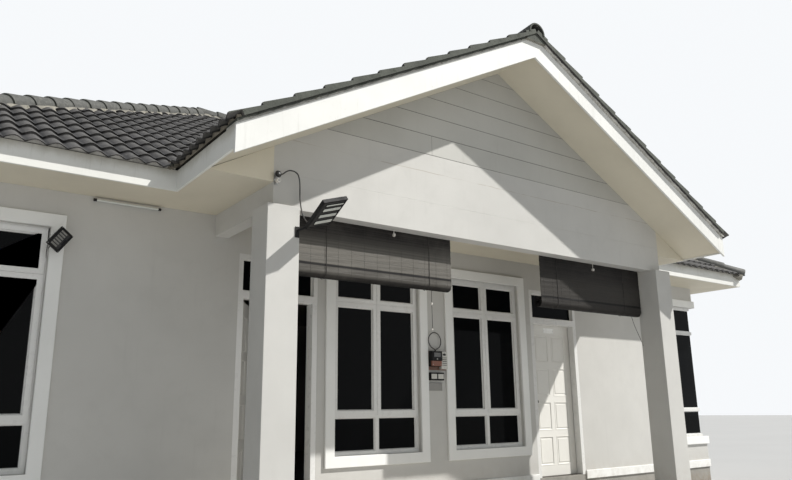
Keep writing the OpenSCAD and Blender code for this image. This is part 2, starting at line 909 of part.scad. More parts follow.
module ridge_caps() {
  ridge_x = fascia_x - main_run + hip_stop / 2;
  top = main_ridge_z + main_tile_v - ridge_sink;
  porch_top = porch_ridge_z + bed_v + porch_tile_v - porch_sink;
  house_frame() color(tile_colour) {
    cap_run([-ridge_x, half_depth, top], [ridge_x, half_depth, top]);
    for (s = [0, 1], t = [0, 1])
      translate([0, half_depth, 0]) mirror([s, 0, 0]) mirror([0, t, 0]) hip_cap();
    difference() {
      cap_run([0, -verge_y, porch_top], [0, half_depth, porch_top]);
      hip_solid(tile_over, fascia_top + main_tile_v);
    }
  }
}

// Fittings

blind_y = beam_t - porch_d;
rail_d = 30;
screen_t = 10;

module blind_at(x, roll_low) {
  mid = roll_low + roll_r;
  head = soffit_h - 20;
  translate([x, blind_y, 0]) {
    block([-blind_w / 2, 0, head - rail_d], [blind_w / 2, rail_d, head]);
    block([-blind_w / 2, rail_d / 2 - screen_t / 2, mid], [blind_w / 2, rail_d / 2 + screen_t / 2, head]);
    translate([-blind_w / 2, rail_d / 2 + roll_r - screen_t / 2, mid]) rotate([0, 90, 0])
      cylinder(r = roll_r, h = blind_w);
  }
}

// Each blind hangs just clear of its column
blind_side = 45;
blind_x = column_out - column_w - blind_side - blind_w / 2;

module left_blind() {
  house_frame() color(dark_colour) blind_at(-blind_x, left_roll_h);
}

module right_blind() {
  house_frame() color(dark_colour) blind_at(blind_x, right_roll_h);
}

// The meter board hangs midway between the porch windows
meter_x = (left_window_x + right_window_x) / 2;
meter_w = right_window_x - left_window_x - window_w - 2 * meter_side;
meter_rim = 3;
meter_board_t = 18;
meter_body_w = 0.59 * meter_w;
meter_body_d = 95;
meter_box_w = 0.375 * meter_w;
meter_box_d = 60;
switch_w = 0.76 * meter_w;
switch_h = 95;
switch_drop = 126;
plate_drop = 250;
plate_d = 12;

module meter_boxes() {
  left = -meter_w / 2 + meter_rim;
  top = meter_h - meter_rim;
  house_frame() color(dark_colour) translate([meter_x, 0, meter_z]) {
    block([-meter_w / 2, -meter_board_t, 0], [meter_w / 2, 0, meter_h]);
    block([left, -meter_body_d, 44], [left + meter_body_w, 0, top]);
    block([meter_w / 2 - meter_rim - meter_box_w, -meter_box_d, 12], [meter_w / 2 - meter_rim, 0, top]);
    block([left, -meter_box_d, -switch_drop], [left + switch_w, 0, switch_h - switch_drop]);
    block([left, -plate_d, -plate_drop], [left + switch_w, 0, switch_h - plate_drop]);
  }
}

// A cable tube swept along its points with a set number of sides
function unit(v) = v / norm(v);
function ring(p, way, r, n) =
  let (up = [0, 1, 0], side = unit(cross(up, way)), lift = cross(way, side))
  [for (k = [0 : n - 1]) p + r * (cos(360 * k / n) * side + sin(360 * k / n) * lift)];

module tube(points, r, n) {
  last = len(points) - 1;
  ways = [for (i = [0 : last]) unit(points[min(i + 1, last)] - points[max(i - 1, 0)])];
  rings = [for (i = [0 : last]) each ring(points[i], ways[i], r, n)];
  sides = [for (i = [0 : last - 1], k = [0 : n - 1])
    [i * n + k, i * n + (k + 1) % n, (i + 1) * n + (k + 1) % n, (i + 1) * n + k]];
  ends = [[for (k = [0 : n - 1]) n - 1 - k], [for (k = [0 : n - 1]) last * n + k]];
  polyhedron(points = rings, faces = concat(sides, ends));
}

cable_r = 6;

// Route of the loop over the meter, from the middle of its upper edge
METER_LOOP = [
  [-45, -50, 0], [-45, -50, 12], [-28, -46, 26], [0, -40, 36], [25, -36, 52], [42, -34, 74],
  [53, -32, 99], [57, -30, 126], [53, -30, 153], [42, -30, 178], [25, -32, 200], [3, -34, 217],
  [-22, -36, 227], [-50, -38, 231], [-78, -40, 227], [-103, -42, 217], [-126, -44, 200],
  [-143, -46, 178], [-153, -48, 153], [-157, -50, 126], [-153, -52, 99], [-143, -54, 74],
  [-126, -56, 52], [-103, -58, 36], [-80, -58, 25], [-65, -58, 13], [-65, -58, 0]
];

// Route of the drip loop, from the wire bracket down to the solar lamp
DRIP_LOOP = [
  [20.5, -60, 32], [34, -60, 33], [50, -60, 44], [70, -60, 62], [100, -60, 80], [130, -60, 85],
  [165, -60, 80], [195, -60, 60], [208, -60, 25], [215, -60, -15], [218, -60, -80], [220, -60, -165],
  [225, -62, -205], [230, -65, -250], [240, -70, -300], [250, -85, -345], [256, -115, -385],
  [260, -150, -412]
];

bracket_x = 22 - half_porch;
bracket_z = soffit_h + 30;

module meter_cable() {
  house_frame() color(dark_colour) {
    translate([meter_x, 0, meter_z + meter_h - meter_rim + cap_seat]) tube(METER_LOOP, cable_r, 8);
    translate([bracket_x, -porch_d, bracket_z]) tube(DRIP_LOOP, cable_r, 8);
  }
}

// Routes of the cords that hang from the blinds, from the middle of each roll
cord_r = 3;
LEFT_CORD = [
  [719, -33, -59], [719, -34, -90], [718, -34, -120], [718, -35, -150], [717, -35, -180],
  [717, -35, -210], [717, -36, -240], [718, -36, -270], [718, -36, -300], [719, -36, -330],
  [719, -35, -360], [720, -35, -390], [720, -35, -420], [721, -34, -450], [721, -34, -483]
];
RIGHT_CORD = [
  [826, -13, -66], [833, -14, -90], [842, -14, -115], [852, -14, -140], [863, -15, -165],
  [875, -15, -190], [888, -16, -215], [901, -16, -240], [915, -17, -265], [929, -18, -290],
  [943, -19, -315], [957, -20, -340], [970, -21, -365], [983, -22, -390], [995, -23, -415],
  [1010, -24, -450]
];

module blind_cords() {
  roll_y = blind_y + rail_d / 2 + roll_r - screen_t / 2;
  house_frame() color(white_colour) {
    translate([-blind_x, roll_y, left_roll_h + roll_r]) tube(LEFT_CORD, cord_r, 8);
    translate([blind_x, roll_y, right_roll_h + roll_r]) tube(RIGHT_CORD, cord_r, 8);
  }
}

// Solar lamp on an arm at the right front edge of the left column
lamp_l = 390;
lamp_w = 270;
lamp_t = 30;
lamp_turn = [-25, -18, 5];
lamp_z = soffit_h - 438;
lamp_out = [39, -46, 0];
arm_turn = [0, 66, -28];

module solar_light() {
  house_frame() color(dark_colour) translate([column_w - column_out, -column_front, lamp_z]) {
    block([-46, -8, -80], [-6, 0, 20]);
    translate([-22, -13, -15]) rotate(arm_turn) cylinder(r = 11, h = 100);
    translate(lamp_out) rotate(lamp_turn) block([0, -lamp_l, 0], [lamp_w, 0, lamp_t]);
  }
}

// Floodlight on the head of the left corner window, turned on its arm
flood_turn = [18, -55, 0];
flood_drop = 255;

module floodlight() {
  house_frame() color(dark_colour)
    translate([corner_leg - half_w - 75, -surround_proud, window_head - flood_drop]) {
      block([-12, -80, -12], [12, 0, 12]);
      block([-30, -6, -45], [30, 0, 45]);
      translate([0, -80, 0]) rotate(flood_turn) {
        block([-100, -50, -68], [100, -25, 68]);
        block([-76, -30, -50], [76, 20, 50]);
      }
    }
}

module tube_light() {
  house_frame() color(white_colour) translate([-4160, 0, soffit_h - 50])
    block([0, -36, 0], [650, 0, 32]);
}

module wire_bracket() {
  house_frame() color("#6d6a64") translate([bracket_x, -porch_d, bracket_z]) {
    block([-18, -6, -60], [18, 0, 60]);
    for (z = [-32, 32]) translate([0, 0, z]) rotate([90, 0, 0]) {
      cylinder(r = 6, h = 80);
      translate([0, 0, 34]) cylinder(r = 20, h = 38);
    }
  }
}

base_wall();
floor_slab();
porch_floor();
plinth_band();
front_wall_left();
front_wall_middle();
front_wall_right();
door_heads();
left_wall();
right_wall();
back_wall();
window_surrounds();
corner_surrounds();
window_frames();
corner_window_frames();
window_glass();
corner_glass();
door_frames();
transom_glass();
door_hinge_pins();
left_door_leaf();
left_door_hardware();
right_door_leaf();
right_door_hardware();
porch_columns();
porch_beams();
pediment_wall();
pediment_planks();
ceiling_boards();
soffit_boards();
rake_soffits();
fascia_boards();
barge_boards();
main_roof();
porch_roof();
ridge_caps();
left_blind();
right_blind();
blind_cords();
meter_boxes();
meter_cable();
solar_light();
floodlight();
tube_light();
wire_bracket();
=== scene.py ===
"""Looks of the bungalow: roof tiles, joinery, blinds, fittings and every finish, round the fixed frame."""

import logging
import math
from dataclasses import dataclass, field
from enum import Enum
from typing import Callable, Sequence

import bmesh
import bpy
import numpy as np
from mathutils import Matrix, Vector


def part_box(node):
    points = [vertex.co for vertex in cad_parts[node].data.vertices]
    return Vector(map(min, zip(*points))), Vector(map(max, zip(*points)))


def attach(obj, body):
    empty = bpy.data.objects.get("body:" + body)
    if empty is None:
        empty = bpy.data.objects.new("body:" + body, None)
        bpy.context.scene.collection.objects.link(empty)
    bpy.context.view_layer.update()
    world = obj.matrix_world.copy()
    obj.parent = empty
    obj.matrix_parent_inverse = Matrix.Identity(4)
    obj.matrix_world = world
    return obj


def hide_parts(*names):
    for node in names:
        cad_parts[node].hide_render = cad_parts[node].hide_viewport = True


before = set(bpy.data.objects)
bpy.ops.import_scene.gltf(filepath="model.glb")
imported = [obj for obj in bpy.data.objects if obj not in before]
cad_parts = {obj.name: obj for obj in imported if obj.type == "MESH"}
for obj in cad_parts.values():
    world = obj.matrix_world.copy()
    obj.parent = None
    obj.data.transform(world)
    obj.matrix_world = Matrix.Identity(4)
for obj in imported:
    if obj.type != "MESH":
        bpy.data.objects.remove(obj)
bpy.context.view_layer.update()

LOG = logging.getLogger("bungalow")
HOUSE = "house"
Array = np.ndarray
Colour = tuple[float, float, float]
Point = tuple[float, float, float]
Spot = tuple[float, float]
Line = Sequence[Sequence[float]]
Socket = bpy.types.NodeSocket
Material = bpy.types.Material
Thing = bpy.types.Object


class Axis(Enum):
    """World axes by the place of their number in a point."""

    X = 0
    Y = 1
    Z = 2


class Side(Enum):
    """Walls of the house, in quarter turns from the front."""

    FRONT = 0
    RIGHT = 1
    BACK = 2
    LEFT = -1


# Plan of the house, read from the frame


@dataclass(frozen=True)
class HousePlan:
    """Lines and levels that the pieces share, in metres in the row frame."""

    front_y: float
    back_y: float
    floor_z: float
    half_w: float
    fascia_x: float
    fascia_top: float
    porch_fascia_x: float
    barge_y: float
    pediment_y: float
    main_pitch: float = 30.0
    porch_pitch: float = 28.2
    tile_over: float = 0.062
    verge_over: float = 0.050
    bed: float = 0.034
    cap_r: float = 0.115

    @classmethod
    def from_frame(cls) -> "HousePlan":
        """Read the plan from the boxes of the CAD nodes.

        Returns:
            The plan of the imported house.
        """
        slab, fascia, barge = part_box("floor_slab"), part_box("fascia_boards"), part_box("barge_boards")
        return cls(
            front_y=slab[0][1], back_y=slab[1][1], floor_z=slab[1][2], half_w=slab[1][0],
            fascia_x=fascia[1][0], fascia_top=fascia[1][2],
            porch_fascia_x=barge[1][0], barge_y=barge[0][1], pediment_y=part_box("pediment_wall")[0][1],
        )

    @property
    def eave_over(self) -> float:
        """Overhang of the eaves past the walls."""
        return self.fascia_x - self.half_w

    @property
    def eave_y(self) -> float:
        """Line of the front fascia of the main roof."""
        return self.front_y - self.eave_over

    @property
    def mid_y(self) -> float:
        """Line of the main ridge."""
        return (self.front_y + self.back_y) / 2

    @property
    def main_tan(self) -> float:
        """Slope of the main roof."""
        return math.tan(math.radians(self.main_pitch))

    @property
    def porch_tan(self) -> float:
        """Slope of the porch roof."""
        return math.tan(math.radians(self.porch_pitch))

    @property
    def main_run(self) -> float:
        """Plan distance from the fascia to the main ridge."""
        return self.mid_y - self.front_y + self.eave_over

    @property
    def ridge_half(self) -> float:
        """Half of the length of the main ridge."""
        return self.fascia_x - self.main_run


PLAN = HousePlan.from_frame()


def shift(x: float, y: float, z: float) -> Array:
    """A 4 by 4 matrix that moves by a distance."""
    return np.array(Matrix.Translation((x, y, z)))


def spin(degrees: float, axis: str) -> Array:
    """A 4 by 4 matrix that turns about the axis X, Y or Z."""
    return np.array(Matrix.Rotation(math.radians(degrees), 4, axis))


def tilted(place: Point, turn: Point) -> Array:
    """Place on the front wall of a drawing turned about X, then Y, then Z, in degrees."""
    return FRONT @ shift(*place) @ spin(turn[2], "Z") @ spin(turn[1], "Y") @ spin(turn[0], "X")


def facing_out(x: float, y: float, z: float) -> Array:
    """Place of a turned part whose axis points out of the front wall."""
    return shift(x, y, z) @ spin(90.0, "X")


def moved(points: Array, matrix: Array | None) -> Array:
    """Apply a 4 by 4 matrix, or none, to an array of points."""
    return points if matrix is None else points @ matrix[:3, :3].T + matrix[:3, 3]


def wall_matrix(side: Side) -> Array:
    """Turn and shift that carry a drawing on the front wall to another wall.

    Args:
        side: The wall that the drawing goes to.

    Returns:
        A 4 by 4 matrix from wall space, with y = 0 on the wall face and z = 0 on the floor.
    """
    x, y = {Side.FRONT: (0.0, PLAN.front_y), Side.RIGHT: (PLAN.half_w, PLAN.front_y),
            Side.BACK: (0.0, PLAN.back_y), Side.LEFT: (-PLAN.half_w, PLAN.front_y)}[side]
    return shift(x, y, PLAN.floor_z) @ spin(90.0 * side.value, "Z")


FRONT = wall_matrix(Side.FRONT)
# Mirroring along x, exchange of x and y, and the turn that lays an outline in y and z along x
MIRROR_X = np.diag([-1.0, 1.0, 1.0, 1.0])
SWAP_XY = np.eye(4)[[1, 0, 2, 3]]
ALONG_X = np.eye(4)[[2, 0, 1, 3]]


# Node trees


class Graph:
    """A node tree with a short call that adds a node."""

    def __init__(self, tree: bpy.types.NodeTree) -> None:
        """Empty the tree."""
        self.tree = tree
        tree.nodes.clear()

    def feed(self, value: object, target: Socket) -> None:
        """Link a socket, or set a plain value on it; a colour of three numbers is opaque.

        Args:
            value: A node socket, a number or a colour.
            target: The input that takes it.
        """
        if isinstance(value, Socket):
            self.tree.links.new(value, target)
        elif target.type == "RGBA" and len(value) == 3:
            target.default_value = (*value, 1.0)
        else:
            target.default_value = value

    def node(self, kind: str, inputs: dict[str | int, object], output: str | int = 0,
             **settings: object) -> Socket | None:
        """Add a node.

        Args:
            kind: Type of the node, without its prefix.
            inputs: Sockets and constants by input; an input whose value is None is left as it is.
            output: The output that is wanted.
            **settings: Properties of the node.

        Returns:
            The output, or None where the node has none.
        """
        node = self.tree.nodes.new("ShaderNode" + kind)
        for name, value in settings.items():
            setattr(node, name, value)
        for name, value in inputs.items():
            if value is not None:
                self.feed(value, node.inputs[name])
        return node.outputs[output] if node.outputs else None


class Bench(Graph):
    """A material's node tree with short calls for the nodes that the finishes use."""

    def __init__(self, name: str) -> None:
        """Start a material with a Principled shader and object coordinates.

        Args:
            name: Name of the material.
        """
        self.material = bpy.data.materials.new(name)
        self.material.use_nodes = True
        super().__init__(self.material.node_tree)
        self.shader = self.tree.nodes.new("ShaderNodeBsdfPrincipled")
        self.node("OutputMaterial", {"Surface": self.shader.outputs["BSDF"]})
        self.coords = self.node("TexCoord", {}, "Object")

    def uv(self, name: str) -> Socket:
        """Coordinates of a UV map."""
        return self.node("UVMap", {}, uv_map=name)

    def stretch(self, scale: Point, source: Socket | None = None) -> Socket:
        """Scale object coordinates, or the given ones, along each axis."""
        return self.node("Mapping", {"Scale": scale, "Vector": source or self.coords})

    def noise(self, scale: float, detail: float = 4.0, rough: float = 0.55,
              source: Socket | None = None, warp: float = 0.0) -> Socket:
        """Noise between 0 and 1.

        Args:
            scale: Features per metre.
            detail: Octaves.
            rough: Strength of the finer octaves.
            source: Coordinates, or None for object coordinates.
            warp: Distortion.

        Returns:
            The noise factor.
        """
        return self.node("TexNoise", {"Scale": scale, "Detail": detail, "Roughness": rough,
                                      "Distortion": warp, "Vector": source or self.coords}, "Fac")

    def cell(self, source: Socket, size: Point) -> Socket:
        """A random value for each cell of the coordinates.

        Args:
            source: Coordinates.
            size: Size of a cell along each axis.

        Returns:
            The value, between 0 and 1.
        """
        share = self.node("VectorMath", {0: source, 1: size}, operation="DIVIDE")
        whole = self.node("VectorMath", {0: share}, operation="FLOOR")
        return self.node("TexWhiteNoise", {"Vector": whole}, "Value", noise_dimensions="3D")

    def calc(self, kind: str, a: object, b: object = 0.0) -> Socket:
        """A math node of the given kind."""
        return self.node("Math", {0: a, 1: b}, operation=kind)

    def times(self, a: object, b: object) -> Socket:
        """The product of two values."""
        return self.calc("MULTIPLY", a, b)

    def away(self, value: Socket, middle: float) -> Socket:
        """How far a value lies from a number."""
        return self.calc("ABSOLUTE", self.calc("SUBTRACT", value, middle))

    def part(self, axis: Axis, source: Socket | None = None) -> Socket:
        """One axis of object coordinates, or of the given ones."""
        return self.node("SeparateXYZ", {0: source or self.coords}, axis.value)

    def span(self, value: Socket, low: float, high: float, out_low: float = 0.0, out_high: float = 1.0,
             smooth: bool = True) -> Socket:
        """Map a value from one range to another, held at the ends.

        Args:
            value: The value to map.
            low: Value that gives out_low.
            high: Value that gives out_high.
            out_low: Result at low.
            out_high: Result at high.
            smooth: Whether to ease at the ends.

        Returns:
            The mapped value.
        """
        return self.node("MapRange", {"Value": value, "From Min": low, "From Max": high, "To Min": out_low,
                                      "To Max": out_high}, "Result",
                         interpolation_type="SMOOTHSTEP" if smooth else "LINEAR")

    def over(self, paint: object, colour: object, mask: Socket, *span: float) -> Socket:
        """Lay a colour over the paint where a mask is high.

        Args:
            paint: Colour so far.
            colour: Colour that goes over it.
            mask: Share of that colour, or the value that it comes from.
            *span: Where given, the other arguments of span, which makes a share of the mask.

        Returns:
            The mixed colour.
        """
        share = self.span(mask, *span) if span else mask
        return self.node("Mix", {0: share, 6: paint, 7: colour}, 2, data_type="RGBA")

    def bump(self, height: Socket, depth: float, strength: float, under: Socket | None = None) -> Socket:
        """A bump from a height.

        Args:
            height: Height between 0 and 1.
            depth: Depth of the whole range in metres.
            strength: Share of the bump.
            under: Normal that the bump goes on top of.

        Returns:
            The bumped normal.
        """
        return self.node("Bump", {"Strength": strength, "Distance": depth, "Height": height, "Normal": under})

    def shade(self, colour: object, rough: object, normal: Socket | None = None,
              **others: object) -> Material:
        """Set the Principled shader.

        Args:
            colour: Base colour, as a socket or a constant.
            rough: Roughness, as a socket or a constant.
            normal: Normal socket.
            **others: Other inputs by name, with underscores for spaces.

        Returns:
            The finished material.
        """
        for name, value in {"Base Color": colour, "Roughness": rough, "Normal": normal, **others}.items():
            if value is not None:
                self.feed(value, self.shader.inputs[name.replace("_", " ")])
        return self.material


# Finishes


def dim(colour: Colour, share: float) -> Colour:
    """A share of a colour."""
    return tuple(c * share for c in colour)


@dataclass(frozen=True)
class Plaster:
    """Painted plaster: faint trowel waves, fine grain, dust at the foot and rain marks at the top."""

    name: str
    paint: Colour
    dust: Colour = (0.36, 0.31, 0.25)
    dust_height: float = 0.35
    stain: float = 0.10
    seam: float | None = None

    def material(self) -> Material:
        """Build the node material.

        Returns:
            The material.
        """
        bench = Bench(self.name)
        height, patch = bench.part(Axis.Z), bench.noise(6.0, 5.0, 0.6, warp=0.4)
        drips = bench.noise(1.0, 5.0, 0.7, bench.stretch((14.0, 14.0, 0.9)))
        paint = bench.over(self.paint, dim(self.paint, 0.93), bench.noise(0.7, 3.0, 0.6), 0.35, 0.65)
        paint = bench.over(paint, dim(self.paint, 0.9), patch, 0.45, 0.8, 0.0, 0.35)
        paint = bench.over(paint, dim(self.paint, 0.62), drips, 0.56, 0.78, 0.0, self.stain)
        rise = bench.span(height, 0.0, self.dust_height + PLAN.floor_z, 1.0, 0.0)
        splash = bench.times(rise, bench.span(bench.noise(9.0, 6.0, 0.65), 0.3, 0.75))
        paint = bench.over(paint, self.dust, bench.times(splash, 0.55))
        if self.seam is not None:
            wander = bench.span(bench.noise(4.0, 3.0, 0.6), 0.2, 0.8, -0.008, 0.008, False)
            away = bench.away(bench.calc("ADD", height, wander), self.seam)
            broken = bench.span(bench.noise(2.1, 4.0, 0.7), 0.42, 0.60, 0.1, 0.75)
            crack = bench.times(broken, bench.span(away, 0.001, 0.005, 1.0, 0.0))
            paint = bench.over(paint, self.dust, crack)
        normal = bench.bump(bench.noise(3.2, 3.0, 0.5), 0.006, 0.35)
        normal = bench.bump(bench.noise(160.0, 3.0, 0.6), 0.0012, 0.35, normal)
        return bench.shade(paint, bench.span(patch, 0.3, 0.7, 0.62, 0.78), normal)


@dataclass(frozen=True)
class PaintedBoard:
    """Painted fascia, barge and soffit boards with grey rain streaks and specks of mould.

    Where top is set, streaks gather under that level and a darker beige band with a wavering edge runs
    just under it; joint holds the place along x and the lower and upper end of the upright joint
    between two boards of one row.
    """

    name: str
    paint: Colour
    grime: Colour = (0.30, 0.28, 0.22)
    # Colour of the darker beige band just under top.
    moss: Colour = (0.40, 0.37, 0.28)
    shadow: Colour = (0.10, 0.095, 0.085)
    streaks: float = 0.35
    specks: float = 0.25
    top: float | None = None
    joint: Point | None = None

    def material(self) -> Material:
        """Build the node material.

        Returns:
            The material.
        """
        bench = Bench(self.name)
        cloud, height = bench.noise(1.1, 4.0, 0.6), bench.part(Axis.Z)
        paint = bench.over(self.paint, dim(self.paint, 0.93), cloud, 0.35, 0.7)
        drips = bench.noise(1.0, 6.0, 0.72, bench.stretch((22.0, 22.0, 1.6)))
        streak = bench.span(drips, 0.52, 0.8, 0.0, self.streaks)
        if self.top is not None:
            streak = bench.times(streak, bench.span(height, self.top - 0.22, self.top, 0.15, 1.0))
            wander = bench.span(bench.noise(2.6, 5.0, 0.7), 0.25, 0.75, -0.05, 0.05, False)
            edge = bench.calc("ADD", height, wander)
            # A darker beige band with a wavering edge just under top.
            paint = bench.over(paint, self.moss, edge, self.top - 0.11, self.top + 0.02, 0.0, 0.55)
        paint = bench.over(paint, self.grime, streak)
        spots = bench.span(bench.noise(38.0, 5.0, 0.7), 0.62, 0.74, 0.0, self.specks)
        gate = bench.span(bench.noise(2.3, 3.0, 0.6), 0.48, 0.62)
        paint = bench.over(paint, self.grime, bench.times(spots, gate))
        if self.joint is not None:
            x, low, high = self.joint
            inside = bench.times(bench.calc("GREATER_THAN", height, low),
                                 bench.calc("LESS_THAN", height, high))
            near = bench.span(bench.away(bench.part(Axis.X), x), 0.0016, 0.0028, 0.8, 0.0)
            paint = bench.over(paint, self.shadow, bench.times(inside, near))
        brush = bench.noise(1.0, 3.0, 0.6, bench.stretch((12.0, 260.0, 260.0)))
        normal = bench.bump(bench.noise(2.0, 2.0, 0.5), 0.006, 0.25, bench.bump(brush, 0.0008, 0.3))
        return bench.shade(paint, bench.span(cloud, 0.3, 0.7, 0.48, 0.62), normal)


@dataclass(frozen=True)
class ConcreteTile:
    """Weathered charcoal roof tile: a tone for each tile, grime and painted shade in pans and laps, painted
    highlights on crests, lichen.
    """

    name: str
    tone: Colour = (0.034, 0.0315, 0.0315)
    # Pale patches, and the painted highlights on crests and noses.
    bloom_and_highlight: Colour = (0.150, 0.146, 0.140)
    lichen: Colour = (0.17, 0.17, 0.12)
    # Grime, and the painted shade in pans, laps and below the next course.
    dirt_and_shade: Colour = (0.014, 0.014, 0.015)
    tile_w: float = 0.330
    gauge: float = 0.328
    lapped: bool = True

    def material(self) -> Material:
        """Build the node material.

        Returns:
            The material.
        """
        bench = Bench(self.name)
        paint: object = self.tone
        if self.lapped:
            tone = bench.cell(bench.uv("tile"), (self.tile_w, self.gauge, 1.0))
            paint = bench.over(dim(self.tone, 0.72), dim(self.tone, 1.38), tone, 0.0, 1.0, 0.0, 1.0, False)
        cloud = bench.noise(2.4, 5.0, 0.65)
        bloom_and_highlight = bench.times(bench.span(bench.noise(26.0, 6.0, 0.7), 0.44, 0.72, 0.0, 0.70),
                            bench.span(cloud, 0.30, 0.68, 0.35, 1.0))
        paint = bench.over(paint, self.bloom_and_highlight, bloom_and_highlight)
        if self.lapped:
            paint = self.wear_and_painted_light(bench, bench.uv("tile"), paint)
        crust = bench.times(bench.span(bench.noise(11.0, 7.0, 0.75), 0.60, 0.72),
                            bench.span(bench.noise(1.3, 2.0, 0.5), 0.50, 0.66, 0.0, 0.7))
        paint = bench.over(paint, self.lichen, crust)
        normal = bench.bump(bench.noise(90.0, 5.0, 0.7), 0.0016, 0.5)
        normal = bench.bump(bench.noise(14.0, 3.0, 0.6), 0.004, 0.3, normal)
        return bench.shade(paint, bench.span(cloud, 0.3, 0.7, 0.55, 0.72), normal, Specular_IOR_Level=0.22)

    def wear_and_painted_light(self, bench: Bench, uv: Socket, paint: Socket) -> Socket:
        """Darken pans, side laps and the strip below the next course with grime and painted shade, and
        lighten crests and noses with painted highlights.

        Args:
            bench: The material's node tree.
            uv: Place across and along the tiles in metres.
            paint: Colour so far.

        Returns:
            The colour with grime, painted shade and painted highlights.
        """
        along, across, wave = (
            bench.calc("FRACT", bench.calc("DIVIDE", bench.part(axis, uv), size))
            for axis, size in ((Axis.Y, self.gauge), (Axis.X, self.tile_w), (Axis.X, self.tile_w / 2)))
        crest = bench.span(bench.away(wave, 0.5), 0.10, 0.46, 1.0, 0.0)
        # Painted highlights on the crests and on the noses.
        paint = bench.over(paint, self.bloom_and_highlight, bench.times(bench.calc("POWER", crest, 2.0), 0.34))
        paint = bench.over(paint, self.bloom_and_highlight, along, 0.0, 0.06, 0.62, 0.0)
        # Grime and painted shade in the pans, in the strip below the next course and at the side laps.
        paint = bench.over(paint, self.dirt_and_shade, crest, 0.0, 0.35, 0.78, 0.0)
        paint = bench.over(paint, self.dirt_and_shade, along, 0.74, 1.0, 0.0, 0.88)
        return bench.over(paint, self.dirt_and_shade, across, 0.0, 0.035, 0.90, 0.0)


@dataclass(frozen=True)
class Mortar:
    """Pale bedding mortar with sand grain, grime and dark moss."""

    name: str
    tone: Colour
    moss: Colour = (0.10, 0.10, 0.065)

    def material(self) -> Material:
        """Build the node material.

        Returns:
            The material.
        """
        bench = Bench(self.name)
        paint = bench.over(self.tone, dim(self.tone, 0.62), bench.noise(5.0, 6.0, 0.7), 0.35, 0.7)
        paint = bench.over(paint, self.moss, bench.noise(17.0, 7.0, 0.75, warp=0.6), 0.53, 0.66, 0.0, 0.85)
        return bench.shade(paint, 0.88, bench.bump(bench.noise(60.0, 6.0, 0.75), 0.006, 0.6))


@dataclass(frozen=True)
class Enamel:
    """Smooth sprayed or moulded surface with a faint orange-peel and dust."""

    name: str
    paint: Colour
    gloss: float = 0.38
    dust: float = 0.10
    metal: float = 0.0
    coat: float = 0.0
    shine: float = 0.5

    def material(self) -> Material:
        """Build the node material.

        Returns:
            The material.
        """
        bench = Bench(self.name)
        pale = tuple(0.6 * c + 0.4 * d for c, d in zip(self.paint, (0.42, 0.38, 0.32)))
        paint = bench.over(self.paint, pale, bench.noise(7.0, 5.0, 0.65), 0.40, 0.75, 0.0, self.dust)
        marks = bench.noise(55.0, 4.0, 0.7)
        paint = bench.over(paint, dim(self.paint, 0.7), marks, 0.60, 0.76, 0.0, self.dust)
        rough = bench.span(bench.noise(12.0, 3.0, 0.6), 0.3, 0.7, self.gloss - 0.05, self.gloss + 0.10)
        return bench.shade(paint, rough, bench.bump(bench.noise(240.0, 2.0, 0.5), 0.0004, 0.25),
                           Metallic=self.metal, Coat_Weight=self.coat, Specular_IOR_Level=self.shine)


@dataclass(frozen=True)
class DarkGlass:
    """Tinted window glass, almost black from outside, with clouds and specks of rain dust."""

    name: str
    tint: Colour = (0.0030, 0.0034, 0.0040)
    film: Colour = (0.022, 0.022, 0.021)

    def material(self) -> Material:
        """Build the node material.

        Returns:
            The material.
        """
        bench = Bench(self.name)
        cloud = bench.noise(0.8, 4.0, 0.6, warp=0.5)
        paint = bench.over(self.tint, self.film, cloud, 0.35, 0.75, 0.0, 0.10)
        dust = bench.span(bench.noise(45.0, 5.0, 0.7), 0.58, 0.80, 0.0, 0.25)
        paint = bench.over(paint, self.film, bench.times(dust, bench.span(cloud, 0.4, 0.7)))
        rough = bench.span(bench.noise(6.0, 4.0, 0.6), 0.4, 0.8, 0.03, 0.08)
        return bench.shade(paint, rough, bench.bump(bench.noise(0.9, 1.0, 0.4), 0.003, 0.25), IOR=1.45,
                           Specular_IOR_Level=0.04)


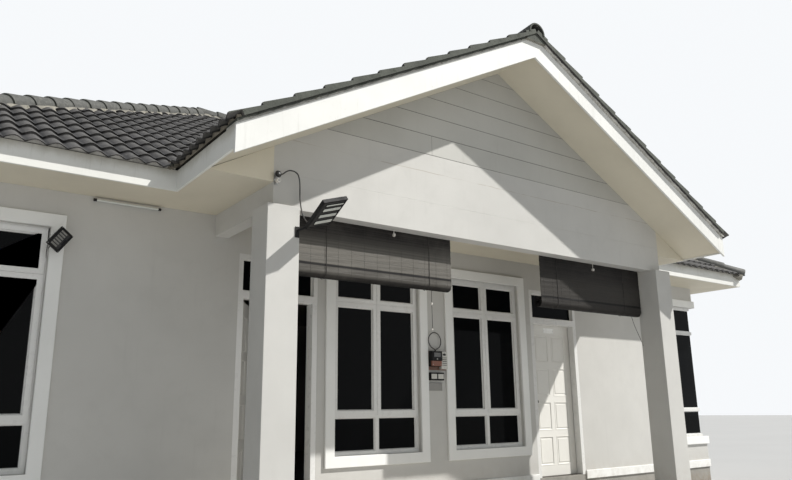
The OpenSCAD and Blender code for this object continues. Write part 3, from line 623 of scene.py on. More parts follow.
@dataclass(frozen=True)
class Bamboo:
    """Dark stained split bamboo: a tone for each slat, fine fibres along it and nodes here and there.

    The second coordinate of its map runs down the screen and is 0 level with the roll's axis. A line of
    painted shade runs across the screen level with the roll's top, the roll's front gets a painted
    highlight, the lower screen painted sunlight, and the roll from its lower front on painted shade.
    """

    name: str
    light: Colour = (0.035, 0.031, 0.029)
    dark: Colour = (0.009, 0.008, 0.008)
    # Colour of the pale patches, and of the painted light on the lower screen and the roll's front.
    faded_and_lit: Colour = (0.182, 0.171, 0.151)
    # Colour of the painted shade level with the roll's top and over the roll from its lower front on.
    painted_shade: Colour = (0.006, 0.006, 0.006)
    slat: float = 0.0085

    def material(self) -> Material:
        """Build the node material.

        Returns:
            The material.
        """
        bench = Bench(self.name)
        uv = bench.uv("slat")
        tone = bench.cell(uv, (10.0, self.slat, 1.0))
        fibre = bench.noise(1.0, 5.0, 0.7, bench.stretch((3.0, 900.0, 1.0), uv))
        knots = bench.noise(1.0, 2.0, 0.5, bench.stretch((9.0, 118.0, 1.0), uv))
        paint = bench.over(self.dark, self.light, tone, 0.0, 1.0, 0.0, 1.0, False)
        paint = bench.over(paint, self.dark, fibre, 0.35, 0.7, 0.0, 0.55)
        paint = bench.over(paint, dim(self.dark, 0.5), knots, 0.68, 0.74, 0.0, 0.6)
        paint = bench.over(paint, self.faded_and_lit, bench.noise(1.6, 4.0, 0.6), 0.38, 0.72, 0.02, 0.42)
        along = bench.part(Axis.Y, uv)
        lower, front, seam = (
            bench.times(bench.span(along, *rise), bench.span(along, *fall, 1.0, 0.0)) for rise, fall in (
                ((-0.44, -0.20), (-0.075, -0.070)), ((-0.048, -0.040), (0.020, 0.045)),
                ((-0.068, -0.062), (-0.052, -0.046))))
        # Painted sunlight on the lower screen, then a painted highlight on the roll's front.
        painted_sunlight = bench.times(lower, bench.span(tone, 0.0, 1.0, 0.62, 0.84, False))
        paint = bench.over(paint, self.faded_and_lit, painted_sunlight)
        paint = bench.over(paint, self.faded_and_lit, bench.times(front, 0.42))
        # Painted shade in a line level with the roll's top, and over the roll from its lower front on.
        shade = bench.calc("MAXIMUM", seam, bench.span(along, 0.045, 0.085))
        paint = bench.over(paint, self.painted_shade, bench.times(shade, 0.86))
        return bench.shade(paint, bench.span(tone, 0.0, 1.0, 0.42, 0.62, False),
                           bench.bump(fibre, 0.0006, 0.5), Specular_IOR_Level=0.12)


@dataclass(frozen=True)
class BareConcrete:
    """Bare cement: blotches, pores and splashed soil at the ground."""

    name: str
    tone: Colour = (0.33, 0.315, 0.285)
    soil: Colour = (0.21, 0.15, 0.095)

    def material(self) -> Material:
        """Build the node material.

        Returns:
            The material.
        """
        bench = Bench(self.name)
        cloud = bench.noise(2.2, 6.0, 0.7, warp=0.5)
        paint = bench.over(self.tone, dim(self.tone, 0.68), cloud, 0.3, 0.7)
        soil = bench.times(bench.span(bench.part(Axis.Z), 0.0, 0.22, 1.0, 0.0),
                           bench.span(bench.noise(7.0, 6.0, 0.7), 0.30, 0.66))
        paint = bench.over(paint, self.soil, bench.times(soil, 0.7))
        cells = bench.node("TexVoronoi", {"Scale": 70.0, "Vector": bench.coords}, "Distance")
        normal = bench.bump(bench.span(cells, 0.05, 0.22), 0.003, 0.35)
        normal = bench.bump(bench.noise(40.0, 6.0, 0.7), 0.003, 0.5, normal)
        return bench.shade(paint, 0.86, normal)


@dataclass(frozen=True)
class Timber:
    """Varnished board: reddish grain along x, darker year rings and dust."""

    name: str
    tone: Colour = (0.17, 0.075, 0.045)
    ring: Colour = (0.075, 0.032, 0.022)
    dust: Colour = (0.30, 0.25, 0.20)

    def material(self) -> Material:
        """Build the node material.

        Returns:
            The material.
        """
        bench = Bench(self.name)
        grain = bench.noise(1.0, 6.0, 0.7, bench.stretch((5.0, 60.0, 90.0)), 0.8)
        paint = bench.over(self.tone, self.ring, grain, 0.42, 0.62)
        paint = bench.over(paint, self.dust, bench.noise(14.0, 5.0, 0.7), 0.48, 0.8, 0.0, 0.35)
        return bench.shade(paint, bench.span(grain, 0.3, 0.7, 0.42, 0.62), bench.bump(grain, 0.0006, 0.4))


WALL_PAINT: Colour = (0.590, 0.580, 0.552)
FINISHES = {
    "wall": Plaster("wall_paint", WALL_PAINT),
    "pediment": Plaster("pediment_plaster", WALL_PAINT, seam=PLAN.floor_z + 3.390),
    "white": Plaster("white_plaster", (0.895, 0.895, 0.872), stain=0.12),
    "board": PaintedBoard("board_paint", (0.815, 0.812, 0.772), streaks=0.48, top=PLAN.fascia_top),
    "barge": PaintedBoard("barge_paint", (0.820, 0.818, 0.788), streaks=0.22),
    "soffit": PaintedBoard("soffit_board", (0.690, 0.640, 0.520), streaks=0.06, specks=0.15),
    "plank": PaintedBoard("plank_paint", (0.496, 0.490, 0.458), streaks=0.16, specks=0.12,
                          joint=(-1.060, PLAN.floor_z + 3.5955, PLAN.floor_z + 3.8140)),
    "tile": ConcreteTile("roof_tile"),
    "cap": ConcreteTile("cap_tile", (0.082, 0.083, 0.078), (0.205, 0.203, 0.185), lapped=False),
    "mortar": Mortar("ridge_mortar", (0.300, 0.284, 0.244)),
    "painted": Mortar("painted_mortar", (0.700, 0.685, 0.640), (0.330, 0.315, 0.270)),
    "damp": Mortar("valley_mortar", (0.290, 0.262, 0.212), (0.085, 0.080, 0.060)),
    "moss": Mortar("verge_moss", (0.095, 0.102, 0.086), (0.030, 0.036, 0.024)),
    "frame": Enamel("white_frame", (0.760, 0.755, 0.735), 0.30),
    "door": Enamel("door_paint", (0.790, 0.775, 0.730), 0.34, 0.16),
    "glass": DarkGlass("dark_glass"),
    "bamboo": Bamboo("bamboo"),
    # A darker copy of the bamboo for the right blind: painted shade.
    "deep_bamboo": Bamboo("bamboo_shaded", (0.030, 0.027, 0.025), (0.007, 0.006, 0.006),
                          (0.052, 0.048, 0.043)),
    "concrete": BareConcrete("concrete"),
    "screed": BareConcrete("porch_screed", (0.560, 0.540, 0.500)),
    "slot": Enamel("dark_slot", (0.006, 0.006, 0.007), 0.55),
    "brass": Enamel("aged_brass", (0.030, 0.023, 0.017), 0.42, 0.15, metal=0.45),
    "steel": Enamel("galvanised_steel", (0.42, 0.42, 0.41), 0.45, 0.3, metal=0.9),
    "black": Enamel("black_plastic", (0.008, 0.008, 0.009), 0.60, 0.08, shine=0.2),
    "case": Enamel("meter_case", (0.60, 0.59, 0.55), 0.42, 0.3),
    "sight": Enamel("sight_glass", (0.050, 0.048, 0.045), 0.12, 0.3, coat=0.5),
    "diode": Enamel("lamp_rows", (0.17, 0.165, 0.150), 0.25, 0.2, coat=0.4),
    "tag": Enamel("bare_plate_enamel", (0.95, 0.95, 0.92), 0.25, coat=0.3),
    "plate": Enamel("meter_plate", (0.27, 0.265, 0.25), 0.50, 0.5),
    "grey": Enamel("grey_plastic", (0.42, 0.43, 0.42), 0.40, 0.2),
    "brown": Enamel("brown_plastic", (0.20, 0.065, 0.035), 0.35, 0.2),
    "lamp_glass": Enamel("lamp_lens", (0.62, 0.64, 0.60), 0.12, 0.15, coat=0.6),
    "cell": Enamel("solar_cell", (0.010, 0.014, 0.035), 0.10, coat=0.8),
    "porcelain": Enamel("porcelain", (0.70, 0.67, 0.62), 0.15, coat=0.5),
    "cable": Enamel("cable_sheath", (0.020, 0.020, 0.021), 0.5, 0.35),
    "string": Enamel("dark_string", (0.022, 0.020, 0.019), 0.75, 0.3),
    "gasket": Enamel("window_gasket", (0.022, 0.022, 0.022), 0.6, 0.3),
    "timber": Timber("meter_board_wood"),
}


class Finishes:
    """The materials of the house, each made once."""

    def __init__(self) -> None:
        """Build every material."""
        self.made = {key: finish.material() for key, finish in FINISHES.items()}

    def take(self, keys: str) -> list[Material]:
        """Materials by their keys, with spaces between the keys."""
        return [self.made[key] for key in keys.split()]


# Meshes


class Shape:
    """Parts of one piece, gathered as arrays of points and lists of faces."""

    def __init__(self) -> None:
        """Start empty."""
        self.points: list[Array] = []
        self.faces: list[list[int]] = []
        self.marks: list[int] = []
        self.coords: list[Array] = []
        self.count = 0

    def add(self, points: Array, faces: Sequence[Sequence[int]] | Array, mark: int = 0,
            uv: Array | None = None) -> None:
        """Add one part.

        Args:
            points: N by 3 array.
            faces: Corner numbers of each face, outward by the right-hand rule.
            mark: Number of the material slot.
            uv: N by 2 array for the UV map, or None.
        """
        points = np.asarray(points, float).reshape(-1, 3)
        base = self.count
        self.points.append(points)
        self.faces.extend([[int(i) + base for i in face] for face in faces])
        self.marks.extend([mark] * len(faces))
        self.coords.append(np.zeros((len(points), 2)) if uv is None else np.asarray(uv, float).reshape(-1, 2))
        self.count += len(points)

    def block(self, low: Sequence[float], high: Sequence[float], mark: int = 0) -> None:
        """Add a box between two corners.

        Args:
            low: Lowest corner.
            high: Highest corner.
            mark: Number of the material slot.
        """
        low, high = np.asarray(low, float), np.asarray(high, float)
        corners = np.array([[x, y, z] for z in (0, 1) for y in (0, 1) for x in (0, 1)], float)
        faces = [(0, 2, 3, 1), (4, 5, 7, 6), (0, 1, 5, 4), (2, 6, 7, 3), (0, 4, 6, 2), (1, 3, 7, 5)]
        self.add(low + corners * (high - low), faces, mark)

    def grid(self, points: Array, mark: int = 0, uv: Array | None = None, loop: bool = False,
             flip: bool = False) -> None:
        """Add a surface from a rows by columns array of points.

        Args:
            points: R by C by 3 array.
            mark: Number of the material slot.
            uv: R by C by 2 array, or None.
            loop: Whether the last column joins the first.
            flip: Whether to turn the faces over.
        """
        rows, cols = points.shape[:2]
        i, j = np.meshgrid(np.arange(rows - 1), np.arange(cols if loop else cols - 1), indexing="ij")
        k = (j + 1) % cols
        quads = np.stack([i * cols + j, i * cols + k, (i + 1) * cols + k, (i + 1) * cols + j], -1)
        quads, flat = quads.reshape(-1, 4), points.reshape(-1, 3)
        across = np.cross(flat[quads[:, 1]] - flat[quads[:, 3]], flat[quads[:, 0]] - flat[quads[:, 2]])
        quads = quads[np.linalg.norm(across, axis=1) > 1e-9]
        self.add(flat, quads[:, ::-1] if flip else quads, mark, uv)

    def loft(self, rings: Array, mark: int = 0, uv: Array | None = None, end: int | None = None) -> None:
        """Add a closed body through rings of points, with a flat face on the first and the last one.

        Args:
            rings: Rings by points by 3 array.
            mark: Number of the material slot.
            uv: Rings by points by 2 array, or None.
            end: Material slot of the first face, where it is another one.
        """
        self.grid(rings, mark, uv, loop=True)
        order = list(range(rings.shape[1]))
        first, last = (None, None) if uv is None else (uv[0], uv[-1])
        self.add(rings[0], [order[::-1]], mark if end is None else end, first)
        self.add(rings[-1], [order], mark, last)

    def prism(self, outline: Array, low: float, high: float, matrix: Array | None = None,
              mark: int = 0) -> None:
        """Add an outline drawn anticlockwise in x and y, raised from low to high.

        Args:
            outline: N by 2 array.
            low: Height of the bottom.
            high: Height of the top.
            matrix: Turn and shift, or None.
            mark: Number of the material slot.
        """
        rings = [np.column_stack([outline, np.full(len(outline), level)]) for level in (low, high)]
        self.loft(moved(np.stack(rings), matrix), mark)

    def border(self, low: Sequence[float], high: Sequence[float], profile: Line,
               mark: int = 0) -> None:
        """Add a mitred border inside an upright rectangle: a closed profile carried round its four corners.

        Each corner takes the profile at its own inset from both edges, so that the corners mitre.

        Args:
            low: Lower left corner, x and z.
            high: Upper right corner, x and z.
            profile: Inset from the edge and depth y of each profile point.
            mark: Number of the material slot.
        """
        line = np.asarray(profile, float)
        inset, depth = line[:, 0], line[:, 1]
        (x0, z0), (x1, z1) = (low[0] + inset, low[1] + inset), (high[0] - inset, high[1] - inset)
        rows = np.stack([np.stack([x, depth, z], -1) for x, z in ((x0, z0), (x1, z0), (x1, z1), (x0, z1))])
        self.grid(np.concatenate([rows, rows[:1]]), mark, loop=True)

    def join(self, other: "Shape", matrix: Array) -> "Shape":
        """Take in a copy of another shape, moved by a matrix.

        Args:
            other: The shape to copy.
            matrix: Turn, shift and mirroring of the copy.

        Returns:
            This shape.
        """
        base = self.count
        turned = np.linalg.det(matrix[:3, :3]) < 0
        self.points.extend(moved(part, matrix) for part in other.points)
        self.faces.extend([[i + base for i in (face[::-1] if turned else face)] for face in other.faces])
        self.marks.extend(other.marks)
        self.coords.extend(other.coords)
        self.count += other.count
        return self

    def lathe(self, profile: Line, sides: int = 24, matrix: Array | None = None,
              mark: int = 0) -> None:
        """Add a profile of radius and height turned round z, closed at both ends.

        Args:
            profile: Radius and height pairs from bottom to top, the end radii above zero.
            sides: Number of sides.
            matrix: Turn and shift, or None.
            mark: Number of the material slot.
        """
        line = np.asarray(profile, float)
        angle = np.linspace(0, 2 * math.pi, sides, endpoint=False)
        height = np.repeat(line[:, 1:], sides, axis=1)
        rings = np.stack([line[:, :1] * np.cos(angle), line[:, :1] * np.sin(angle), height], -1)
        self.loft(moved(rings, matrix), mark)

    def tube(self, path: Array, radius: float, sides: int = 10, mark: int = 0) -> "Shape":
        """Add a round tube along points, closed at both ends.

        The ring at each point lies across the direction from its neighbour behind to the one ahead.

        Args:
            path: N by 3 array.
            radius: Radius of the tube.
            sides: Number of sides.
            mark: Number of the material slot.

        Returns:
            This shape.
        """
        path = np.asarray(path, float)
        way = np.gradient(path, axis=0)
        way /= np.linalg.norm(way, axis=1, keepdims=True)
        guide = np.array([0.0, 1.0, 0.0]) if abs(way[:, 1]).mean() < 0.8 else np.array([1.0, 0.0, 0.0])
        side = np.cross(guide, way)
        side /= np.linalg.norm(side, axis=1, keepdims=True)
        lift = np.cross(way, side)
        angle = np.linspace(0, 2 * math.pi, sides, endpoint=False)
        across = side[:, None] * np.cos(angle)[:, None] + lift[:, None] * np.sin(angle)[:, None]
        self.loft(path[:, None] + radius * across, mark)
        return self

    def piece(self, name: str, finishes: Sequence[Material], slot: str, body: str = HOUSE,
              uv_name: str | None = None, smooth: float = 35.0, bevel: float = 0.0, outward: bool = True,
              node: str | None = None) -> Thing:
        """Make the mesh object and set it on its body.

        Args:
            name: Name of the piece.
            finishes: Materials by mark.
            slot: Material slot of the record; not used.
            body: Body that carries the piece.
            uv_name: Name of the UV map, or None.
            smooth: Angle in degrees under which edges look smooth.
            bevel: Width of rounded edges in metres.
            outward: Whether to turn the closed shells outwards.
            node: CAD node that the piece stands for, or None.

        Returns:
            The object.
        """
        points = np.concatenate(self.points)
        mesh = bpy.data.meshes.new(name)
        sizes = np.array([len(face) for face in self.faces], np.int32)
        corners = np.concatenate([np.asarray(face, np.int32) for face in self.faces])
        mesh.vertices.add(len(points))
        mesh.vertices.foreach_set("co", points.astype(np.float32).ravel())
        mesh.loops.add(len(corners))
        mesh.loops.foreach_set("vertex_index", corners)
        mesh.polygons.add(len(sizes))
        mesh.polygons.foreach_set("loop_start", (np.cumsum(sizes) - sizes).astype(np.int32))
        mesh.polygons.foreach_set("material_index", np.array(self.marks, np.int32))
        mesh.update(calc_edges=True)
        if uv_name is not None:
            layer = mesh.uv_layers.new(name=uv_name)
            layer.data.foreach_set("uv", np.concatenate(self.coords)[corners].astype(np.float32).ravel())
        mesh.validate()
        weld(mesh, outward)
        for finish in finishes:
            mesh.materials.append(finish)
        mesh.shade_smooth()
        mesh.set_sharp_from_angle(angle=math.radians(smooth))
        thing = bpy.data.objects.new(name, mesh)
        bpy.context.scene.collection.objects.link(thing)
        if bevel > 0:
            round_edges(thing, bevel)
        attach(thing, body)
        if node is not None:
            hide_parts(node)
        LOG.info("%s: %d faces", name, len(sizes))
        return thing


def round_edges(thing: Thing, width: float) -> None:
    """Give an object rounded edges with a live bevel.

    Args:
        thing: The object.
        width: Width of the rounding in metres.
    """
    rounding = thing.modifiers.new("rounded_edges", "BEVEL")
    rounding.width = width
    rounding.segments = 2
    rounding.limit_method = "ANGLE"
    rounding.angle_limit = math.radians(40)
    rounding.harden_normals = True


def weld(mesh: bpy.types.Mesh, outward: bool, reach: float = 1e-5) -> None:
    """Merge points that meet, so seams and poles close, and turn closed shells outwards.

    Args:
        mesh: The mesh.
        outward: Whether to recalculate the directions of the faces.
        reach: Distance under which points merge.
    """
    form = bmesh.new()
    form.from_mesh(mesh)
    bmesh.ops.remove_doubles(form, verts=form.verts, dist=reach)
    if outward:
        bmesh.ops.recalc_face_normals(form, faces=form.faces)
    form.to_mesh(mesh)
    form.free()


# Roof


@dataclass(frozen=True)
class TileShape:
    """Sizes of one double-wave roof tile and of the way it is laid."""

    wave: float = 0.165
    columns: int = 8
    height: float = 0.034
    rest: float = 0.003
    lift: float = 0.025
    gauge: float = 0.328
    thick: float = 0.014
    lap: float = 0.004

    def surface(self, u: Array, share: Array, course: Array) -> Array:
        """Height of the tile faces over the plane that they lie on.

        A crest is the mean of |cos| and a cosine over one wave, so that crests are round and pans
        come to a crease. Each course falls from lift at its lower edge to 0 at the next one, and
        each tile, two waves wide, tips a little towards its lap and sits a little differently.

        Args:
            u: Distance along the eave.
            share: Place in the course, 0 at its lower edge and 1 at the next.
            course: Number of the course.

        Returns:
            Heights in metres.
        """
        turn = math.pi * u / self.wave
        crest = 0.55 * np.abs(np.cos(turn)) + 0.45 * (0.5 + 0.5 * np.cos(2 * turn))
        across = u / (2 * self.wave) + 0.25
        tilt = self.lap * (1 - (across - np.floor(across)))
        luck = np.sin(np.floor(across) * 12.9898 + course * 78.233) * 43758.5453
        seat = (luck - np.floor(luck) - 0.5) * 0.005
        return self.rest + self.height * crest + self.lift * (1 - share) + tilt + seat


@dataclass(frozen=True)
class Slope:
    """One roof plane: a point on its lower edge, its inward direction and its limits along the eave.

    Limits are functions of the plan distance from the lower edge.
    """

    origin: Point
    inward: Spot
    pitch: float
    run: float
    over: float
    low: Callable[[Array], Array]
    high: Callable[[Array], Array]

    def place(self, u: Array, plan: Array, lift: Array) -> Array:
        """Points at a distance along the eave, a plan distance up the slope and a height over the plane.

        Args:
            u: Distance along the eave.
            plan: Plan distance from the lower edge.
            lift: Height over the plane, square to it.

        Returns:
            Array of points.
        """
        hx, hy = self.inward
        slant = math.radians(self.pitch)
        x = self.origin[0] + u * hy + (plan - lift * math.sin(slant)) * hx
        y = self.origin[1] - u * hx + (plan - lift * math.sin(slant)) * hy
        z = self.origin[2] + plan * math.tan(slant) + lift * math.cos(slant)
        return np.stack(np.broadcast_arrays(x, y, z), -1)


@dataclass
class TiledRoof:
    """Tile courses on slopes, as closed sheets of single tiles."""

    name: str
    node: str
    slopes: list[Slope]
    finishes: Finishes
    tile: TileShape = field(default_factory=TileShape)

    def rows(self, slope: Slope) -> tuple[Array, Array, Array, Array]:
        """Rows of a slope from the eave up: three to a course and three that turn under the eave.

        Args:
            slope: The roof plane.

        Returns:
            Plan distance, share of the course, course number and drop under the tile face of each row.
        """
        step = self.tile.gauge * math.cos(math.radians(slope.pitch))
        count = int(math.ceil((slope.run + slope.over) / step))
        starts = -slope.over + step * np.arange(count)
        thick = self.tile.thick
        rows = [(0.05, 0.0, 0.0, 1.0), (0.05, 0.0, 0.0, thick), (-slope.over, 0.0, 0.0, thick)]
        for number, start in enumerate(starts):
            rows += [(start, 1.0 if number else 0.15, max(number - 1.0, 0.0), 0.0),
                     (start - 0.002, 0.12, number, 0.0), (start + 0.012, 0.02, number, 0.0)]
        rows.append((slope.run, (slope.run - starts[-1]) / step, count - 1.0, 0.0))
        return tuple(np.array(rows).T)

    def sheet(self, shape: Shape, slope: Slope) -> None:
        """Add one slope.

        The columns stand on one lattice along the eave and each row clips them to its own limits,
        so that tiles are cut along hips and valleys. Sides, top and underside close the sheet.

        Args:
            shape: Shape that takes the sheet.
            slope: The roof plane.
        """
        plan, share, course, drop = self.rows(slope)
        low, high = slope.low(plan), slope.high(plan)
        pitch = self.tile.wave / self.tile.columns
        first, last = math.floor(low.min() / pitch), math.ceil(high.max() / pitch)
        u = np.clip(pitch * np.arange(first, last + 1), low[:, None], high[:, None])
        share, course, drop = (column[:, None] for column in (share, course, drop))
        lift = np.where(drop > 0.5, 0.0, self.tile.surface(u, share, course) - drop)
        points = slope.place(u, plan[:, None], lift)
        v = (course + np.clip(share, 0.004, 0.996)) * self.tile.gauge + 0 * u
        shape.grid(points, 0, np.stack([u + 0.5 * self.tile.wave, v], -1))
        self.close(shape, slope, points, plan, low, high)

    def close(self, shape: Shape, slope: Slope, points: Array, plan: Array, low: Array, high: Array) -> None:
        """Close a sheet with its two sides, its top end and its underside.

        Args:
            shape: Shape that takes the faces.
            slope: The roof plane.
            points: Rows by columns array of the tile faces.
            plan: Plan distance of each row.
            low: Lower limit of each row.
            high: Upper limit of each row.
        """
        foot_low = slope.place(low, plan, np.zeros_like(low))
        foot_high = slope.place(high, plan, np.zeros_like(high))
        inward, along = (*slope.inward, 0.0), np.array([slope.inward[1], -slope.inward[0], 0.0])
        base = np.concatenate([[False], plan[1:] > np.maximum.accumulate(plan)[:-1]])
        base &= (plan > 0.06) & (plan < plan[-1])
        base[-1] = True
        for side, foot, limit, way in ((points[:, 0], foot_low, low, -along),
                                       (points[:, -1], foot_high, high, along)):
            for first, last in self.straight_parts(plan, limit, base):
                rows = np.arange(first, last + 1)
                ring = self.distinct(np.concatenate([side[rows], foot[rows[base[rows]][::-1]]]))
                self.end_face(shape, ring, way, 1)
        top = self.distinct(points[-1])
        if len(top) > 1:
            self.end_face(shape, np.concatenate([top, foot_high[-1:], foot_low[-1:]]), inward, 0)
        rows_low, rows_high = foot_low[base], foot_high[base]
        under = np.stack([rows_low, rows_high], 1)
        shape.grid(under, 0, np.broadcast_to(self.neutral, (*under.shape[:2], 2)), flip=True)
        ring = np.concatenate([rows_low[:1], rows_high[:1], self.distinct(points[0])[::-1]])
        self.end_face(shape, ring, (0.0, 0.0, -1.0), 0)

    @staticmethod
    def straight_parts(plan: Array, limit: Array, base: Array) -> list[tuple[int, int]]:
        """Rows between which the limit of a sheet runs straight.

        Args:
            plan: Plan distance of each row.
            limit: Limit along the eave of each row.
            base: Which rows have a corner on the underside.

        Returns:
            First and last row of each straight part.
        """
        rows = np.flatnonzero(base)
        way = np.diff(limit[rows]) / np.diff(plan[rows])
        bends = rows[1:-1][np.abs(np.diff(way)) > 0.01]
        stops = [0, *bends.tolist(), len(plan) - 1]
        return list(zip(stops[:-1], stops[1:]))

    def end_face(self, shape: Shape, ring: Array, way: Sequence[float], mark: int) -> None:
        """Add one flat closing face that looks the given way.

        Args:
            shape: Shape that takes the face.
            ring: Its corners in order.
            way: Rough direction that it faces.
            mark: Number of the finish.
        """
        turn = np.cross(ring, np.roll(ring, -1, axis=0)).sum(axis=0)
        ring = ring if turn @ np.asarray(way) > 0 else ring[::-1]
        shape.add(ring, [list(range(len(ring)))], mark, np.tile(self.neutral, (len(ring), 1)))

    @property
    def neutral(self) -> Array:
        """A place on the UV map in the middle of a tile, away from its laps."""
        return np.array([0.75 * self.tile.wave, 0.5 * self.tile.gauge])

    @staticmethod
    def distinct(line: Array) -> Array:
        """Points of a line without those that repeat the one before."""
        return line[np.concatenate([[True], np.linalg.norm(np.diff(line, axis=0), axis=1) > 1e-6])]

    def build(self) -> None:
        """Make the piece and let it stand for its node."""
        shape = Shape()
        for slope in self.slopes:
            self.sheet(shape, slope)
        shape.piece(self.name, self.finishes.take("tile moss"), "roof_tile", uv_name="tile", smooth=50.0,
                    outward=False, node=self.node)


def valley_x(plan: Array) -> Array:
    """Half width of the porch roof where it meets the main roof, by plan distance from the main eave."""
    return PLAN.porch_fascia_x + (PLAN.bed - plan * PLAN.main_tan) / PLAN.porch_tan


def main_slopes(under: float = 0.03) -> list[Slope]:
    """The five planes of the main roof: front left and right of the porch roof, back and both sides.

    Args:
        under: How far the tiles run under the valley mortar.

    Returns:
        The slopes.
    """
    p = PLAN
    hip, side = (lambda d: p.fascia_x - d), (lambda d: p.main_run - d)
    valley = lambda d: np.maximum(valley_x(d) - under, 0)
    planes = (((0.0, p.eave_y), (0, 1), lambda d: -hip(d), lambda d: -valley(d)),
              ((0.0, p.eave_y), (0, 1), valley, hip),
              ((0.0, p.back_y + p.eave_over), (0, -1), lambda d: -hip(d), hip),
              ((p.fascia_x, p.mid_y), (-1, 0), lambda d: -side(d), side),
              ((-p.fascia_x, p.mid_y), (1, 0), lambda d: -side(d), side))
    return [Slope((*place, p.fascia_top), inward, p.main_pitch, p.main_run, p.tile_over, low, high)
            for place, inward, low, high in planes]


def porch_slopes(under: float = 0.03) -> list[Slope]:
    """The two planes of the porch roof.

    Args:
        under: How far the tiles run under the valley mortar.

    Returns:
        The slopes.
    """
    p = PLAN
    verge, x = p.barge_y - p.verge_over, p.porch_fascia_x
    depth = lambda d: p.eave_y + (p.bed + d * p.porch_tan) / p.main_tan + under - verge
    return [Slope((way * x, verge, p.fascia_top + p.bed), (-way, 0), p.porch_pitch, x, p.tile_over, low, high)
            for way, low, high in ((1, lambda d: 0 * d, depth), (-1, lambda d: -depth(d), lambda d: 0 * d))]


@dataclass(frozen=True)
class CapRun:
    """A straight line of half-round cap tiles, laid from its lower end."""

    start: Point
    end: Point

    def frame(self) -> tuple[Array, Array, Array, float]:
        """Direction, side, up and length of the run.

        Returns:
            Three unit directions, and the length in metres.
        """
        start, end = np.array(self.start), np.array(self.end)
        way = end - start
        length = float(np.linalg.norm(way))
        way /= length
        side = np.cross(way, (0.0, 0.0, 1.0))
        side /= np.linalg.norm(side)
        return way, side, np.cross(side, way), length


@dataclass
class RidgeCaps:
    """Cap tiles of ridges and hips on their mortar bed."""

    runs: list[CapRun]
    finishes: Finishes
    exposure: float = 0.355
    length: float = 0.415
    low_r: float = 0.124
    high_r: float = 0.100
    thick: float = 0.017
    arc: int = 13

    def cap(self, shape: Shape, run: CapRun, at: float, length: float, turn: float, aside: float) -> None:
        """Add one cap: a ring of an outer and an inner half circle, carried from its lower to its upper end.

        Args:
            shape: Shape that takes the cap.
            run: The run that it lies on.
            at: Distance of its lower end along the run.
            length: Length of the cap.
            turn: Small roll about the run.
            aside: Small shift to the side.
        """
        way, side, up, _ = run.frame()
        theta = np.linspace(-0.06, math.pi + 0.06, self.arc) + turn
        along = np.array([0.0, 0.014, length])
        outer = np.array([self.low_r - 0.004, self.low_r, self.high_r])
        inner = outer - self.thick
        rings = [side * (radius[:, None] * np.cos(angle))[..., None]
                 + up * (radius[:, None] * np.sin(angle))[..., None]
                 for radius, angle in ((outer, theta), (inner, theta[::-1]))]
        base = np.array(run.start) + way * (at + along)[:, None] + side * aside
        # The lower end face takes the second finish, dark moss: moss and painted shade on the cap's butt.
        shape.loft(base[:, None] + np.concatenate(rings, axis=1), 0, end=1)

    def bed(self, shape: Shape, run: CapRun, seed: float) -> None:
        """Add the mortar bed: a low bar with a fillet up to the caps, which swells and dips along the run.

        On a sloping run the tiles come higher beside the caps, and the fillet rises with them.

        Args:
            shape: Shape that takes the bed.
            run: The run that it lies under.
            seed: Phase of the swelling.
        """
        way, side, up, length = run.frame()
        t = np.linspace(0.025, length, max(int(length / 0.06), 2))
        swell = 0.006 * np.sin(t * 11.0 + seed) + 0.004 * np.sin(t * 29.0 + 2.3 * seed)
        rise = 0.022 if way[2] > 0.1 else 0.0
        across = np.array([-0.150, -0.136, -0.100, 0.100, 0.136, 0.150])
        level = np.array([-0.100, rise - 0.036, 0.002, 0.002, rise - 0.036, -0.100])
        spread = across * (1 + swell[:, None] * 2.0)
        height = level + swell[:, None] * np.array([0.0, 1.0, 0.3, 0.3, 1.0, 0.0])
        points = np.array(run.start) + (way * t[:, None])[:, None]
        shape.loft(points + side * spread[..., None] + up * height[..., None], 0, end=1)

    def build(self) -> None:
        """Make the caps, which stand for their node, and the mortar."""
        caps, beds = Shape(), Shape()
        luck = np.random.default_rng(11)
        for number, run in enumerate(self.runs):
            length = run.frame()[3]
            for k in range(int(length / self.exposure) + 1):
                at = k * self.exposure
                reach = min(self.length, length - at)
                if reach > 0.08:
                    self.cap(caps, run, at, reach, luck.normal(0, 0.012), luck.normal(0, 0.003))
            self.bed(beds, run, 1.7 * number)
        caps.piece("cap_tiles", self.finishes.take("cap moss"), "roof_tile", smooth=40.0, node="ridge_caps")
        beds.piece("ridge_mortar_beds", self.finishes.take("mortar moss"), "roof_tile", smooth=60.0)


def cap_runs() -> list[CapRun]:
    """The main ridge, its four hips and the porch ridge.

    Returns:
        The runs, each from its lower end.
    """
    p = PLAN
    crest, foot, over, stop = 0.045, p.cap_r - 0.018, p.tile_over - 0.02, 0.10
    level = p.fascia_top + crest / math.cos(math.radians(p.main_pitch))
    hip_z = level - foot * p.main_tan * math.sin(math.pi / 4)
    runs = []
    for sx in (-1, 1):
        for sy in (-1, 1):
            runs.append(CapRun(*((sx * (p.ridge_half + back), p.mid_y + sy * back,
                                  hip_z + (p.main_run - back) * p.main_tan)
                                 for back in (p.main_run + over, stop))))
    half, top = p.ridge_half + 0.11, level + (p.main_run - foot) * p.main_tan + 0.012
    runs.append(CapRun((-half, p.mid_y, top), (half, p.mid_y, top)))
    top = p.fascia_top + p.bed + crest / math.cos(math.radians(p.porch_pitch))
    top += (p.porch_fascia_x - foot) * p.porch_tan
    meet = p.eave_y + (top + 0.06 - level) / p.main_tan
    runs.append(CapRun((0.0, p.barge_y - p.verge_over - 0.010, top), (0.0, meet, top)))
    return runs


